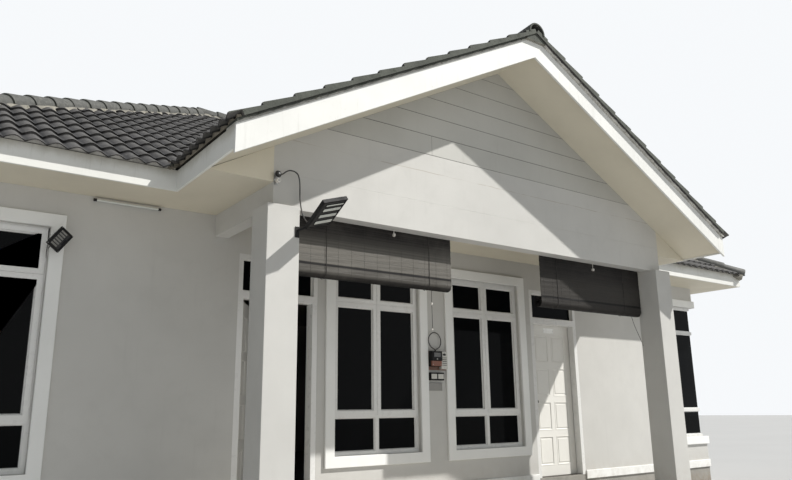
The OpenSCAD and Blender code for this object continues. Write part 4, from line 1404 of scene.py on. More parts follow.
@dataclass
class MortarLines:
    """Mortar along the valleys, under the verge tiles and between fascia and tiles."""

    finishes: Finishes
    half_w: float = 0.075
    raise_by: float = 0.032

    def valley(self, shape: Shape, sign: int) -> None:
        """Add a valley strip: it follows the higher of both tile planes, with a lumpy crown.

        Args:
            shape: Shape that takes the strip.
            sign: -1 for the left valley, 1 for the right one.
        """
        p = PLAN
        top = (p.porch_fascia_x * p.porch_tan + p.bed) / p.main_tan
        plan = np.linspace(-0.01, top, 90)
        square = np.array([1.0, sign * p.main_tan / p.porch_tan])
        square /= np.linalg.norm(square)
        across = np.linspace(-1, 1, 9)
        ragged = 1 + 0.25 * np.sin(plan * 31.0 + sign) + 0.18 * np.sin(plan * 73.0)
        off = across * self.half_w * ragged[:, None]
        x = (sign * valley_x(plan))[:, None] + square[0] * off
        y = (p.eave_y + plan)[:, None] + square[1] * off
        main = p.fascia_top + (y - p.eave_y) * p.main_tan
        porch = p.fascia_top + p.bed + (p.porch_fascia_x - np.abs(x)) * p.porch_tan
        bump = 0.007 * np.sin(x * 61.0 + y * 47.0) + 0.005 * np.sin(x * 23.0 - y * 91.0)
        crown = self.raise_by + 0.030 * (1 - across ** 2) + bump
        crown[:, [0, -1]] = 0.0
        upper, lower = (np.stack([x, y, np.maximum(main, porch) + rise], -1) for rise in (crown, -0.005))
        shape.loft(np.concatenate([upper, lower[:, ::-1]], axis=1), 1)

    def verge(self, shape: Shape, sign: int) -> None:
        """Add the bed under the verge tiles: a painted bar along the rake and a second bar on it, mossy on
        the left rake and painted on the right.

        Their line wavers as two sines of the place along the rake.

        Args:
            shape: Shape that takes the bar.
            sign: -1 for the left rake, 1 for the right one.
        """
        p = PLAN
        x = np.linspace(0.0, p.porch_fascia_x - 0.002, 110)
        base = p.fascia_top + (p.porch_fascia_x - x) * p.porch_tan
        wave = 0.003 * np.sin(x * 37.0 + sign) + 0.002 * np.sin(x * 83.0)
        edge, level = 0.018 + wave, np.ones_like(x)
        for low, high, out, mark in ((0.0005, edge, 0.003, 0),
                                     (edge, p.bed + 0.004, 0.026 + wave, 2 if sign < 0 else 0)):
            front, back = p.barge_y - out * level, (p.barge_y + 0.20) * level
            corners = [(front, base + low), (back, base + low), (back, base + high),
                       (front + 0.004, base + high)]
            shape.loft(np.stack([np.stack([sign * x, y, z], -1) for y, z in corners], 1), mark)

    def eave(self, shape: Shape, slope: Slope, tile: TileShape, mark: int) -> None:
        """Add the filler between a fascia and the wavy underside of the lowest tiles.

        Its upper edge follows the tiles' surface less their thickness; it stands a little behind the
        fascia's face and ends just over the fascia.

        Args:
            shape: Shape that takes the filler.
            slope: The roof plane.
            tile: The tiles that it fills.
            mark: Number of the finish.
        """
        step = tile.wave / 12
        near, far = 0.012, 0.046
        low, high = float(slope.low(np.array(far))) + 0.03, float(slope.high(np.array(far))) - 0.03
        u = np.arange(low, high, step)
        share = (near + slope.over) / (tile.gauge * math.cos(math.radians(slope.pitch)))
        top = tile.surface(u, np.full_like(u, share), np.zeros_like(u)) - tile.thick - 0.001
        corners = ((near, 0.0005 + 0 * u), (near, top), (far, top - 0.006), (far, 0.0005 + 0 * u))
        shape.loft(np.stack([slope.place(u, np.full_like(u, plan), lift) for plan, lift in corners], 1), mark)

    def build(self) -> None:
        """Make the piece."""
        shape = Shape()
        for slopes, mark in ((main_slopes(), 0), (porch_slopes(), 1)):
            for slope in slopes:
                self.eave(shape, slope, TileShape(), mark)
        for sign in (-1, 1):
            self.valley(shape, sign)
            self.verge(shape, sign)
        finishes = self.finishes.take("painted damp moss")
        shape.piece("valley_and_verge_mortar", finishes, "roof_tile", smooth=60.0)


# Cords


@dataclass(frozen=True)
class Cord:
    """A cord or cable along a route whose points are given, as in the part's source.

    The route runs in millimetres from the anchor and is followed by a smooth curve through its points.
    """

    name: str
    anchor: Point
    route: Line
    radius: float
    far_end: str
    stiffness: str
    lay: str
    steps: int = 5

    def path(self) -> Array:
        """Points of the smooth curve: a cubic from each route point to the next.

        Between points p1 and p2 with neighbours p0 and p3, at a share t, the curve is
        ((2 p1) + (p2 - p0) t + (2 p0 - 5 p1 + 4 p2 - p3) t^2 + (3 p1 - p0 - 3 p2 + p3) t^3) / 2.

        Returns:
            N by 3 array.
        """
        points = moved(np.array(self.anchor) + 0.001 * np.array(self.route), FRONT)
        held = np.concatenate([2 * points[:1] - points[1:2], points, 2 * points[-1:] - points[-2:-1]])
        p0, p1, p2, p3 = (held[k:len(held) - 3 + k, None] for k in range(4))
        t = (np.arange(self.steps) / self.steps)[None, :, None]
        curve = (2 * p1 + (p2 - p0) * t + (2 * p0 - 5 * p1 + 4 * p2 - p3) * t ** 2
                 + (3 * p1 - p0 - 3 * p2 + p3) * t ** 3) / 2
        return np.concatenate([curve.reshape(-1, 3), points[-1:]])

    def build(self, finishes: list[Material], slot: str, node: str | None = None,
              with_pieces: Sequence[Thing] = ()) -> None:
        """Args:
            finishes: Material of the cord.
            slot: Material slot of the record; not used.
            node: CAD node that the cord stands for, or None.
            with_pieces: Pieces that are on the cord; not used.
        """
        path = self.path()
        piece = Shape().tube(path, self.radius, 12).piece(self.name, finishes, slot, smooth=60.0, node=node)


# The loop over the meter, the one from the wire bracket to the lamp, the left pull and the right tie
METER_LOOP = Cord("meter_cable_loop", (0.0335, 0.0, 1.6283), (
    (-45, -50, 0), (-45, -50, 12), (-28, -46, 26), (0, -40, 36), (25, -36, 52), (42, -34, 74), (53, -32, 99),
    (57, -30, 126), (53, -30, 153), (42, -30, 178), (25, -32, 200), (3, -34, 217), (-22, -36, 227),
    (-50, -38, 231), (-78, -40, 227), (-103, -42, 217), (-126, -44, 200), (-143, -46, 178), (-153, -48, 153),
    (-157, -50, 126), (-153, -52, 99), (-143, -54, 74), (-126, -56, 52), (-103, -58, 36), (-80, -58, 25),
    (-65, -58, 13), (-65, -58, 0)), 0.006, "object", "medium", "loose")
DRIP_LOOP = Cord("drip_loop_cable", (-2.905, -1.362, 2.980), (
    (20.5, -60, 32), (34, -60, 33), (50, -60, 44), (70, -60, 62), (100, -60, 80), (130, -60, 85),
    (165, -60, 80), (195, -60, 60), (208, -60, 25), (215, -60, -15), (218, -60, -80), (220, -60, -165),
    (225, -62, -205), (230, -65, -250), (240, -70, -300), (250, -85, -345), (256, -115, -385),
    (260, -150, -412)), 0.006, "object", "medium", "hanging")
LEFT_PULL = Cord("left_pull_cord", (-1.679, -1.136, 2.218), (
    (719, -33, -59), (719, -34, -90), (718, -34, -120), (718, -35, -150), (717, -35, -180), (717, -35, -210),
    (717, -36, -240), (718, -36, -270), (718, -36, -300), (719, -36, -330), (719, -35, -360),
    (720, -35, -390), (720, -35, -420), (721, -34, -450), (721, -34, -483)), 0.003, "knot", "limp", "hanging")
RIGHT_TIE = Cord("right_tie_cord", (1.679, -1.136, 2.166), (
    (826, -13, -66), (833, -14, -90), (842, -14, -115), (852, -14, -140), (863, -15, -165), (875, -15, -190),
    (888, -16, -215), (901, -16, -240), (915, -17, -265), (929, -18, -290), (943, -19, -315),
    (957, -20, -340), (970, -21, -365), (983, -22, -390), (995, -23, -415), (1010, -24, -450)),
    0.003, "object", "limp", "taut")


@dataclass
class Cords:
    """The meter's loop, the drip loop at the pediment and the cords of both blinds."""

    finishes: Finishes
    knots: tuple[Spot, ...] = ((-0.211, 0.011), (-0.483, 0.009))

    def pull_knots(self) -> Thing:
        """The bead and the end knot of the left pull cord: balls a little longer than wide.

        Returns:
            The piece.
        """
        shape, (x, y, z) = Shape(), LEFT_PULL.anchor
        angle = np.linspace(0.06, math.pi - 0.06, 9)
        ball = np.stack([np.sin(angle), -1.35 * np.cos(angle)], -1)
        for drop, radius in self.knots:
            shape.lathe(radius * ball, 14, FRONT @ shift(x + 0.718, y - 0.035, z + drop))
        return shape.piece("pull_cord_knots", self.finishes.take("porcelain"), "cord", smooth=60.0)

    def eye(self) -> None:
        """Make the screw eye on the right column that holds the tie cord."""
        angle = np.linspace(0.0, 2 * math.pi, 16, endpoint=False)
        x, y, z = np.array(RIGHT_TIE.anchor) + (1.010, -0.024, -0.456)
        ring = np.stack([x + 0.008 * np.cos(angle), np.full_like(angle, y), z + 0.008 * np.sin(angle)], -1)
        shape = Shape().tube(moved(ring, FRONT), 0.0016, 8)
        shape.tube(moved(np.array([[x + 0.007, y, z], [x + 0.0105, y, z]]), FRONT), 0.0016, 8)
        shape.piece("tie_cord_eye", self.finishes.take("porcelain"), "steel", smooth=60.0)

    def build(self) -> None:
        """Make every cord."""
        cable, string = self.finishes.take("cable"), self.finishes.take("string")
        METER_LOOP.build(cable, "dark_plastic", "meter_cable")
        DRIP_LOOP.build(cable, "dark_plastic")
        LEFT_PULL.build(string, "cord", "blind_cords", [self.pull_knots()])
        RIGHT_TIE.build(string, "cord")
        self.eye()


# Joinery


def glazing(shape: Shape, low: Spot, high: Spot, y: float, seal: int) -> None:
    """Add a sloped bead and a thin gasket in front of a pane, round one opening.

    Args:
        shape: Shape that takes them.
        low: Lower left corner.
        high: Upper right corner.
        y: Face of the glass.
        seal: Number of the gasket's finish.
    """
    shape.border(low, high, [(-0.001, y - 0.0135), (0.005, y - 0.0130), (0.012, y - 0.0045),
                             (0.012, y - 0.0018), (-0.001, y - 0.0018)], 0)
    shape.border(low, high, [(0.0, y - 0.0016), (0.0155, y - 0.0016), (0.0165, y - 0.0003),
                             (0.0, y - 0.0003)], seal)


@dataclass
class WindowTrim:
    """Glazing beads, gaskets and sash hinges of every window."""

    finishes: Finishes
    width: float = 1.221
    pane_low: float = 0.428
    pane_high: float = 2.598
    frame_w: float = 0.040
    mullion_w: float = 0.052
    bar_w: float = 0.050
    low_bar: float = 0.840
    high_bar: float = 2.131
    ring_in: float = 0.026
    sash_lap: float = 0.024
    sash_face: float = 0.032
    glass_face: float = 0.062
    corner_set: float = 0.040
    corner_pane: float = 1.391
    porch_x: Spot = (-0.844, 0.911)
    side_y: Spot = (3.700, 6.600)
    back_x: tuple[float, ...] = (-4.050, -1.350, 1.350, 4.050)

    def openings(self, x_low: float, x_high: float) -> list[tuple[Spot, Spot]]:
        """Glass openings of one column: the fixed pane below and the two sashes over it.

        Args:
            x_low: Left edge of the column.
            x_high: Right edge of the column.

        Returns:
            Lower left and upper right corner of each.
        """
        rows = [(self.pane_low + self.frame_w, self.low_bar, 0.0),
                (self.low_bar + self.bar_w, self.high_bar, self.ring_in),
                (self.high_bar + self.bar_w, self.pane_high - self.frame_w, self.ring_in)]
        return [((x_low + inset, low + inset), (x_high - inset, high - inset)) for low, high, inset in rows]

    def column(self, shape: Shape, x_low: float, x_high: float, hinge_left: bool) -> None:
        """Add the trim of one column of panes, with two hinge barrels beside each sash.

        Args:
            shape: Shape that takes it.
            x_low: Left edge of the column.
            x_high: Right edge of the column.
            hinge_left: Whether the sashes hang at their left edge.
        """
        openings = self.openings(x_low, x_high)
        for low, high in openings:
            glazing(shape, low, high, self.glass_face, 1)
        barrel = [(0.0042, -0.030), (0.0050, -0.028), (0.0050, -0.001), (0.0044, 0.0), (0.0050, 0.001),
                  (0.0050, 0.028), (0.0042, 0.030)]
        x = x_low - self.sash_lap if hinge_left else x_high + self.sash_lap
        for low, high in openings[1:]:
            for z in (low[1] + 0.075, high[1] - 0.075):
                shape.lathe(barrel, 10, shift(x, self.sash_face + 0.001, z))

    def window(self) -> Shape:
        """Trim of one window, in wall space about its middle.

        Returns:
            The trim as a shape.
        """
        shape, half = Shape(), self.width / 2
        self.column(shape, self.frame_w - half, -self.mullion_w / 2, True)
        self.column(shape, self.mullion_w / 2, half - self.frame_w, False)
        return shape

    def corner_leg(self) -> Shape:
        """Trim of one leg of a corner window, from the corner along x.

        Returns:
            The trim as a shape.
        """
        shape, y = Shape(), self.glass_face
        middle = (self.corner_set + self.corner_pane) / 2
        self.column(shape, middle + self.mullion_w / 2, self.corner_pane - self.frame_w, False)
        for (_, low), (_, high) in self.openings(0.0, 1.0):
            inset = 0.0 if high < self.low_bar + 0.01 else -self.ring_in
            low, high, right = low + inset, high - inset, middle - self.mullion_w / 2
            for z, way in ((low, 1), (high, -1)):
                span = sorted((z - 0.001 * way, z + 0.012 * way))
                shape.block((self.corner_set + 0.03, y - 0.0125, span[0]), (right, y - 0.002, span[1]))
            shape.block((right - 0.012, y - 0.0125, low), (right + 0.001, y - 0.002, high))
        return shape

    def build(self) -> None:
        """Make the trim of all windows as one piece."""
        window, leg, shape = self.window(), self.corner_leg(), Shape()
        places = [(Side.FRONT, x) for x in self.porch_x] + [(Side.RIGHT, y) for y in self.side_y]
        places += [(Side.BACK, x) for x in self.back_x] + [(Side.LEFT, -y) for y in self.side_y]
        for side, x in places:
            shape.join(window, wall_matrix(side) @ shift(x, 0.0, 0.0))
        for sign in (-1, 1):
            corner = FRONT @ shift(sign * PLAN.half_w, 0.0, 0.0)
            corner = corner if sign < 0 else corner @ MIRROR_X
            shape.join(leg, corner)
            shape.join(leg, corner @ SWAP_XY)
        shape.piece("window_beads_and_hinges", self.finishes.take("frame gasket"), "white_frame", smooth=30.0)


@dataclass
class DoorTrim:
    """Panel mouldings, lock plates, transom beads and thresholds of both doors."""

    finishes: Finishes
    left_x: float = -2.160
    right_x: float = 2.245
    door_w: float = 0.962
    jamb_w: float = 0.052
    head: float = 2.574
    leaf_w: float = 0.844
    leaf_h: float = 2.095
    gap: float = 0.007
    leaf_t: float = 0.040
    pin_x: float = 0.0035
    pin_y: float = 0.1648
    leaf_front: float = 0.109
    stile: float = 0.105
    mid_stile: float = 0.070
    top_rail: float = 0.150
    bottom_rail: float = 0.140
    rail: float = 0.085
    transom_low: float = 2.102
    transom_bar: float = 0.076
    lock_z: float = 1.010
    left_open: float = 57.0
    plate: Spot = (2.243, 2.016)
    plate_half: Spot = (0.105, 0.036)

    def panels(self) -> list[tuple[Spot, Spot]]:
        """Corners of the eight panels of a leaf, from its lower hinge corner.

        Returns:
            Lower left and upper right corner of each.
        """
        width = (self.leaf_w - 2 * self.stile - self.mid_stile) / 2
        height = (self.leaf_h - self.gap - self.top_rail - self.bottom_rail - 3 * self.rail) / 4
        lows = [(self.stile + i * (width + self.mid_stile), self.bottom_rail + j * (height + self.rail))
                for i in range(2) for j in range(4)]
        return [((x, z), (x + width, z + height)) for x, z in lows]

    def leaf(self) -> Shape:
        """Mouldings and lock plates of a leaf, from its lower hinge corner.

        Returns:
            The trim as a shape.
        """
        shape = Shape()
        ovolo = np.array([(-0.001, 0.0005), (-0.001, -0.0022), (0.004, -0.0030), (0.009, -0.0012),
                          (0.0125, 0.0022), (0.0145, 0.0052), (0.0180, 0.0060), (0.0180, 0.0069),
                          (-0.001, 0.0069)])
        for low, high in self.panels():
            shape.border(low, high, ovolo)
            shape.border(low, high, ovolo * (1, -1) + (0, self.leaf_t))
        x, z = self.leaf_w - self.stile / 2, self.lock_z - self.gap
        for y in (-0.0026, self.leaf_t - 0.0004):
            shape.block((x - 0.017, y, z - 0.125), (x + 0.017, y + 0.003, z - 0.040), 1)
            shape.block((x - 0.003, y - 0.0004, z - 0.094), (x + 0.003, y + 0.0034, z - 0.068), 2)
        return shape

    def leaf_matrix(self, right: bool) -> Array:
        """Place of a leaf's lower hinge corner, as the CAD leaf stands.

        Args:
            right: Whether it is the right leaf, which is mirrored and closed.

        Returns:
            A 4 by 4 matrix.
        """
        inner = self.door_w / 2 - self.jamb_w - self.pin_x
        corner = shift(self.gap - self.pin_x, self.leaf_front - self.pin_y, self.gap)
        if right:
            return FRONT @ shift(self.right_x + inner, self.pin_y, 0) @ MIRROR_X @ corner
        return FRONT @ shift(self.left_x - inner, self.pin_y, 0) @ spin(self.left_open, "Z") @ corner

    def bare_plate(self, shape: Shape) -> None:
        """Add the plain white plate on the top rail of the right leaf, with a raised rim and two screws.

        Args:
            shape: Shape that takes it.
        """
        part, y, (x, z), (half_w, half_h) = Shape(), self.leaf_front, self.plate, self.plate_half
        low, high = (x - half_w, z - half_h), (x + half_w, z + half_h)
        part.block((low[0], y - 0.0025, low[1]), (high[0], y + 0.0005, high[1]), 3)
        part.border(low, high, [(0.0, y - 0.0020), (0.0005, y - 0.0045), (0.0060, y - 0.0045),
                                (0.0070, y - 0.0020)], 3)
        for place in (low[0] + 0.014, high[0] - 0.014):
            part.lathe([(0.0035, -0.0005), (0.0035, 0.0006), (0.0024, 0.0014), (0.0006, 0.0016)], 12,
                       facing_out(place, y - 0.0025, z), 1)
        shape.join(part, FRONT)

    def frames(self) -> Shape:
        """Transom beads and thresholds of both frames.

        Returns:
            The trim as a shape.
        """
        shape, part = Shape(), Shape()
        inner = self.door_w / 2 - self.jamb_w
        low, high = self.transom_low + self.transom_bar, self.head - self.jamb_w
        glazing(part, (-inner, low), (inner, high), self.leaf_front / 2, 2)
        sill = np.array([(0.022, 0.0003), (0.085, 0.0003), (0.080, 0.006), (0.060, 0.009), (0.045, 0.009),
                         (0.027, 0.006)])
        part.prism(sill, 0.0004 - inner, inner - 0.0004, ALONG_X, 1)
        for x in (self.left_x, self.right_x):
            shape.join(part, FRONT @ shift(x, 0, 0))
        return shape

    def build(self) -> None:
        """Make the trim of each leaf and of the frames."""
        finishes = self.finishes.take("door brass gasket tag")
        for right, name in ((False, "left"), (True, "right")):
            shape = Shape().join(self.leaf(), self.leaf_matrix(right))
            if right:
                self.bare_plate(shape)
            shape.piece(f"{name}_leaf_mouldings", finishes, "door_paint", f"{name}_door", smooth=50.0)
        self.frames().piece("transom_beads_and_thresholds", finishes, "door_paint", smooth=40.0)


# Blinds


@dataclass
class RollBlind:
    """A roll-up blind of split bamboo: hanging screen, spiral roll, stitches, head rail and lift cords."""

    name: str
    node: str
    finishes: list[Material]
    cord_x: Spot
    thick: float = 0.0050
    round_by: float = 0.0016
    slat: float = 0.0085
    roll_r: float = 0.066
    turns: float = 4.5
    wind: float = 0.0095
    stitches: int = 13
    samples: int = 4

    def ends(self) -> tuple[Array, Array, Array]:
        """Lowest and highest corner of the blind's node, and the roll's axis in y and z."""
        low, high = (np.array(c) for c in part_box(self.node))
        return low, high, low[1:] + (0.010 + self.roll_r, self.roll_r)

    def course(self) -> tuple[Array, Array, Array]:
        """Line of the screen and the roll, seen from the side.

        The screen falls straight from its head to the level of the roll's axis. There it turns into a
        spiral, whose radius falls by one winding for each turn.

        Returns:
            Points y and z of the line, its outward normals and the distance along it.
        """
        _, high, axis = self.ends()
        outer = self.roll_r - self.thick / 2 - self.round_by
        step = self.slat / self.samples
        fall = np.arange(0.0, high[2] - 0.030 - axis[1], step)
        flat = np.stack([np.full_like(fall, axis[0] - outer), high[2] - 0.030 - fall], -1)
        first = np.arange(0.0, 2 * math.pi, step / outer)
        angle = np.concatenate([first, np.arange(2 * math.pi, 2 * math.pi * self.turns, 0.16)])
        radius = outer - self.wind * angle / (2 * math.pi)
        spoke = -np.stack([np.cos(angle), np.sin(angle)], -1)
        line = np.concatenate([flat, axis + radius[:, None] * spoke])
        normal = np.concatenate([np.tile((-1.0, 0.0), (len(flat), 1)), spoke])
        along = np.concatenate([[0.0], np.cumsum(np.linalg.norm(np.diff(line, axis=0), axis=1))])
        return line, normal, along

    def screen(self, shape: Shape) -> None:
        """Add the screen: each slat is a half-round swell |sin| of its place, on both faces.

        Args:
            shape: Shape that takes it.
        """
        (line, normal, along), (low, high, axis) = self.course(), self.ends()
        number = np.floor(along / self.slat)
        luck = np.sin(number * 12.9898) * 43758.5453
        luck = luck - np.floor(luck)
        swell = self.round_by * np.abs(np.sin(math.pi * along / self.slat)) * (0.75 + 0.35 * luck)
        x_low, x_high = low[0] + 0.004 * luck, high[0] - 0.004 * np.roll(luck, 7)
        x = x_low[:, None] + (x_high - x_low)[:, None] * np.linspace(0.0, 1.0, 15)
        wave = 0.0009 * np.sin(x * 9.0 + number[:, None] * 0.9)
        front, back = (
            np.stack([x, line[:, :1] + normal[:, :1] * off, line[:, 1:] + normal[:, 1:] * off], -1)
            for off in (sign * (self.thick / 2 + swell[:, None]) + wave for sign in (1, -1)))
        uv = np.stack([x, np.broadcast_to(along[:, None] - line[0, 1] + axis[1], x.shape)], -1)
        ring, uvs = (np.concatenate([face, under[:, ::-1]], axis=1)
                     for face, under in ((front, back), (uv, uv)))
        shape.loft(ring, 0, uvs)

    def threads(self, shape: Shape) -> None:
        """Add the stitches: threads that run down the face of the screen and once round the roll.

        Args:
            shape: Shape that takes them.
        """
        (line, normal, along), (low, high, _) = self.course(), self.ends()
        keep = along < (line[0, 1] - line[:, 1].min()) + 1.6 * math.pi * self.roll_r
        keep &= np.arange(len(along)) % 2 == 0
        face = line[keep] + normal[keep] * (self.thick / 2 + self.round_by + 0.0004)
        for x in np.linspace(low[0] + 0.06, high[0] - 0.06, self.stitches):
            sway = x + 0.0012 * np.sin(along[keep] * 130.0 + x * 40.0)
            shape.tube(np.column_stack([sway, face]), 0.0007, 4, 1)

    def lift_cords(self, shape: Shape) -> None:
        """Add the lift cords: down in front of the screen, under the roll and up behind it.

        Args:
            shape: Shape that takes them.
        """
        low, high, axis = self.ends()
        angle = np.linspace(math.pi, 2 * math.pi, 21)
        under = axis + (self.roll_r + 0.0032) * np.stack([np.cos(angle), np.sin(angle)], -1)
        down = np.stack([np.full(16, under[0, 0]), np.linspace(high[2] - 0.034, axis[1] + 0.01, 16)], -1)
        rise = np.linspace(0.03, 1.0, 16)[:, None]
        up = under[-1] + rise * (np.array([low[1] + 0.027, high[2] - 0.034]) - under[-1])
        path = np.concatenate([down, under, up])
        for x in self.cord_x:
            shape.tube(np.column_stack([np.full(len(path), x), path]), 0.0026, 8, 1)

    def build(self) -> None:
        """Make the blind, which stands for its node."""
        shape, (low, high, _) = Shape(), self.ends()
        self.screen(shape)
        self.threads(shape)
        self.lift_cords(shape)
        shape.block((low[0], low[1] + 0.001, high[2] - 0.030), (high[0], low[1] + 0.029, high[2] - 0.001))
        shape.piece(self.name, self.finishes, "bamboo", uv_name="slat", smooth=50.0, node=self.node)


# Fittings


@dataclass
class PlankJointShade:
    """Painted shade: dark strips at the back of the open joints between the pediment boards."""

    finishes: Finishes
    foot: float = 3.590
    plank_w: float = 0.225
    gap: float = 0.005
    thick: float = 0.012

    def build(self) -> None:
        """Make the dark strips: one a joint, as long as the gable is wide there."""
        shape, y = Shape(), PLAN.pediment_y
        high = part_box("pediment_planks")[1]
        z = PLAN.floor_z + self.foot
        while z < high[2] - self.plank_w / 2:
            reach = min(high[0], (high[2] - z - self.gap) / PLAN.porch_tan) - 0.002
            shape.block((-reach, y + 0.003, z + 0.0002),
                        (reach, y + self.thick - 0.0002, z + self.gap - 0.0002))
            z += self.plank_w
        shape.piece("plank_joint_shade", self.finishes.take("gasket"), "dark_plastic")


@dataclass
class MeterBoard:
    """Meter board: varnished back board, meter, sealed box, switch box and a bare plate.

    The fittings are drawn on rooms: left, right, lower and upper edge on the wall.
    """

    finishes: Finishes
    board_h: float = 0.235
    rim: float = 0.003
    body_share: float = 0.59
    box_share: float = 0.375
    switch_share: float = 0.76
    switch_h: float = 0.095
    switch_drop: float = 0.126
    plate_drop: float = 0.250

    @property
    def face(self) -> float:
        """The wall face."""
        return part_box("meter_boxes")[1][1]

    def build(self) -> None:
        """Make the fittings, which stand for their node."""
        (x0, _, _), (x1, _, top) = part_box("meter_boxes")
        width, base, face = x1 - x0, top - self.board_h, self.face
        left, high = x0 + self.rim, top - self.rim
        right = left + self.switch_share * width
        shape = Shape()
        shape.block((x0, face - 0.018, base), (x1, face - 0.0003, top), 0)
        self.meter(shape, (left, left + self.body_share * width, base + 0.044, high))
        self.sealed_box(shape, (x1 - self.rim - self.box_share * width, x1 - self.rim, base + 0.012, high))
        self.switches(shape, (left, right, base - self.switch_drop, base - self.switch_drop + self.switch_h))
        low, high = base - self.plate_drop, base - self.plate_drop + self.switch_h
        shape.block((left, face - 0.012, low), (right, face - 0.0003, high), 7)
        shape.border((left + 0.004, low + 0.004), (right - 0.004, high - 0.004), [
            (0.0, face - 0.0116), (0.0, face - 0.0135), (0.004, face - 0.0135), (0.004, face - 0.0116)], 7)
        shape.piece("meter_board", self.finishes.take("timber black case sight steel brown slot plate"),
                    "dark_plastic", smooth=35.0, bevel=0.0022, node="meter_boxes")

    def meter(self, shape: Shape, room: tuple[float, float, float, float]) -> None:
        """Add the meter: base, terminal cover and a round-cornered cap with a sight glass.

        Args:
            shape: Shape that takes it.
            room: Its room on the wall.
        """
        left, right, low, high = room
        face, out, split = self.face, self.face - 0.095, low + 0.36 * (high - low)
        shape.block((left, face - 0.060, low), (right, face - 0.0005, high), 1)
        shape.block((left + 0.006, out + 0.012, low + 0.004), (right - 0.006, face - 0.055, split - 0.002), 5)
        shape.block((left + 0.004, out + 0.003, split), (right - 0.004, face - 0.055, high - 0.004), 1)
        glass_low, glass_high = split + 0.045, high - 0.022
        shape.block((left + 0.030, out + 0.0006, glass_low), (right - 0.030, out + 0.010, glass_high), 3)
        shape.border((left + 0.024, glass_low - 0.006), (right - 0.024, glass_high + 0.006), [
            (0.0, out + 0.006), (0.0, out + 0.0004), (0.006, out + 0.0001), (0.006, out + 0.006)], 1)
        for x in (left + 0.020, right - 0.020):
            shape.lathe([(0.0052, -0.002), (0.0052, 0.0006), (0.0040, 0.0016), (0.0012, 0.0017)], 14,
                        facing_out(x, out + 0.0125, low + 0.020), 4)
        x = (left + right) / 2
        shape.block((x - 0.010, out + 0.002, split + 0.012), (x + 0.010, out + 0.006, split + 0.030), 7)

    def sealed_box(self, shape: Shape, room: tuple[float, float, float, float]) -> None:
        """Add the pale box: body, raised lid and two seal screws.

        Args:
            shape: Shape that takes it.
            room: Its room on the wall.
        """
        left, right, low, high = room
        out, middle = self.face - 0.060, (left + right) / 2
        shape.block((left, out + 0.012, low), (right, self.face - 0.0005, high), 2)
        shape.block((left + 0.003, out, low + 0.003), (right - 0.003, out + 0.014, high - 0.003), 2)
        shape.block((left + 0.012, out - 0.0016, low + 0.030), (right - 0.012, out + 0.004, high - 0.062), 2)
        for z in np.linspace(low + 0.045, high - 0.085, 5):
            shape.block((left + 0.018, out - 0.0024, z), (right - 0.018, out + 0.002, z + 0.008), 6)
        oval = shift(middle, out, high - 0.040) @ np.diag([1.0, 1.0, 0.55, 1.0]) @ spin(90.0, "X")
        shape.lathe([(0.026, -0.002), (0.026, 0.0014), (0.022, 0.0030), (0.0012, 0.0032)], 24, oval, 6)
        for z in (low + 0.016, high - 0.013):
            shape.lathe([(0.0062, -0.002), (0.0062, 0.0010), (0.0048, 0.0022), (0.0012, 0.0023)], 14,
                        facing_out(middle, out, z), 4)

    def switches(self, shape: Shape, room: tuple[float, float, float, float]) -> None:
        """Add the switch box: black case and two pale windows, each with its lever.

        Args:
            shape: Shape that takes it.
            room: Its room on the wall.
        """
        left, right, low, high = room
        out, half = self.face - 0.060, (right - left) / 2
        shape.block((left, out + 0.004, low), (right, self.face - 0.0003, high), 1)
        for x in (left, left + half):
            shape.block((x + 0.010, out, low + 0.018), (x + half - 0.010, out + 0.008, high - 0.018), 2)
            x += half / 2
            shape.block((x - 0.006, out - 0.007, low + 0.038), (x + 0.006, out + 0.002, low + 0.056), 2)


@dataclass
class SolarLamp:
    """Head of the solar lamp: bezel, light strips on its underside and cells on its back."""

    finishes: Finishes
    place: Point = (-2.660, -1.500, 2.512)
    turn: Point = (-25.0, -18.0, 5.0)
    width: float = 0.270
    length: float = 0.390
    thick: float = 0.030
    rim: float = 0.016
    strips: tuple[Spot, ...] = ((0.20, 0.021), (0.44, 0.020), (0.67, 0.018), (0.84, 0.008))

    def build(self) -> None:
        """Make the trim over the CAD head, which lies below and right of its own corner."""
        shape, rim, x1, y0, top = Shape(), self.rim, self.width, -self.length, self.thick
        for low, high in (((0, y0), (x1, y0 + rim)), ((0, -rim), (x1, 0)), ((0, y0 + rim), (rim, -rim)),
                          ((x1 - rim, y0 + rim), (x1, -rim))):
            shape.block((*low, -0.006), (*high, 0.001), 0)
        shape.block((rim, y0 + rim, -0.002), (x1 - rim, -rim, 0.0005), 1)
        for share, half in self.strips:
            y = share * y0
            shape.block((0.20 * x1, y - half - 0.006, -0.0040), (0.95 * x1, y + half + 0.006, -0.0015), 0)
            shape.block((0.22 * x1, y - half, -0.0055), (0.93 * x1, y + half, -0.0035), 2)
        shape.block((0.008, y0 + 0.008, top - 0.001), (x1 - 0.008, -0.008, top + 0.002), 3)
        for y in y0 + np.arange(1, 6) * self.length / 6:
            shape.block((0.012, y - 0.0012, top + 0.0015), (x1 - 0.012, y + 0.0012, top + 0.0026), 4)
        for x in np.arange(1, 4) * x1 / 4:
            shape.block((x - 0.0008, y0 + 0.012, top + 0.0015), (x + 0.0008, -0.012, top + 0.0025), 4)
        placed = Shape().join(shape, tilted(self.place, self.turn))
        placed.piece("solar_lamp_face_and_cells", self.finishes.take("black slot lamp_glass cell steel"),
                     "lamp_metal", bevel=0.0008)


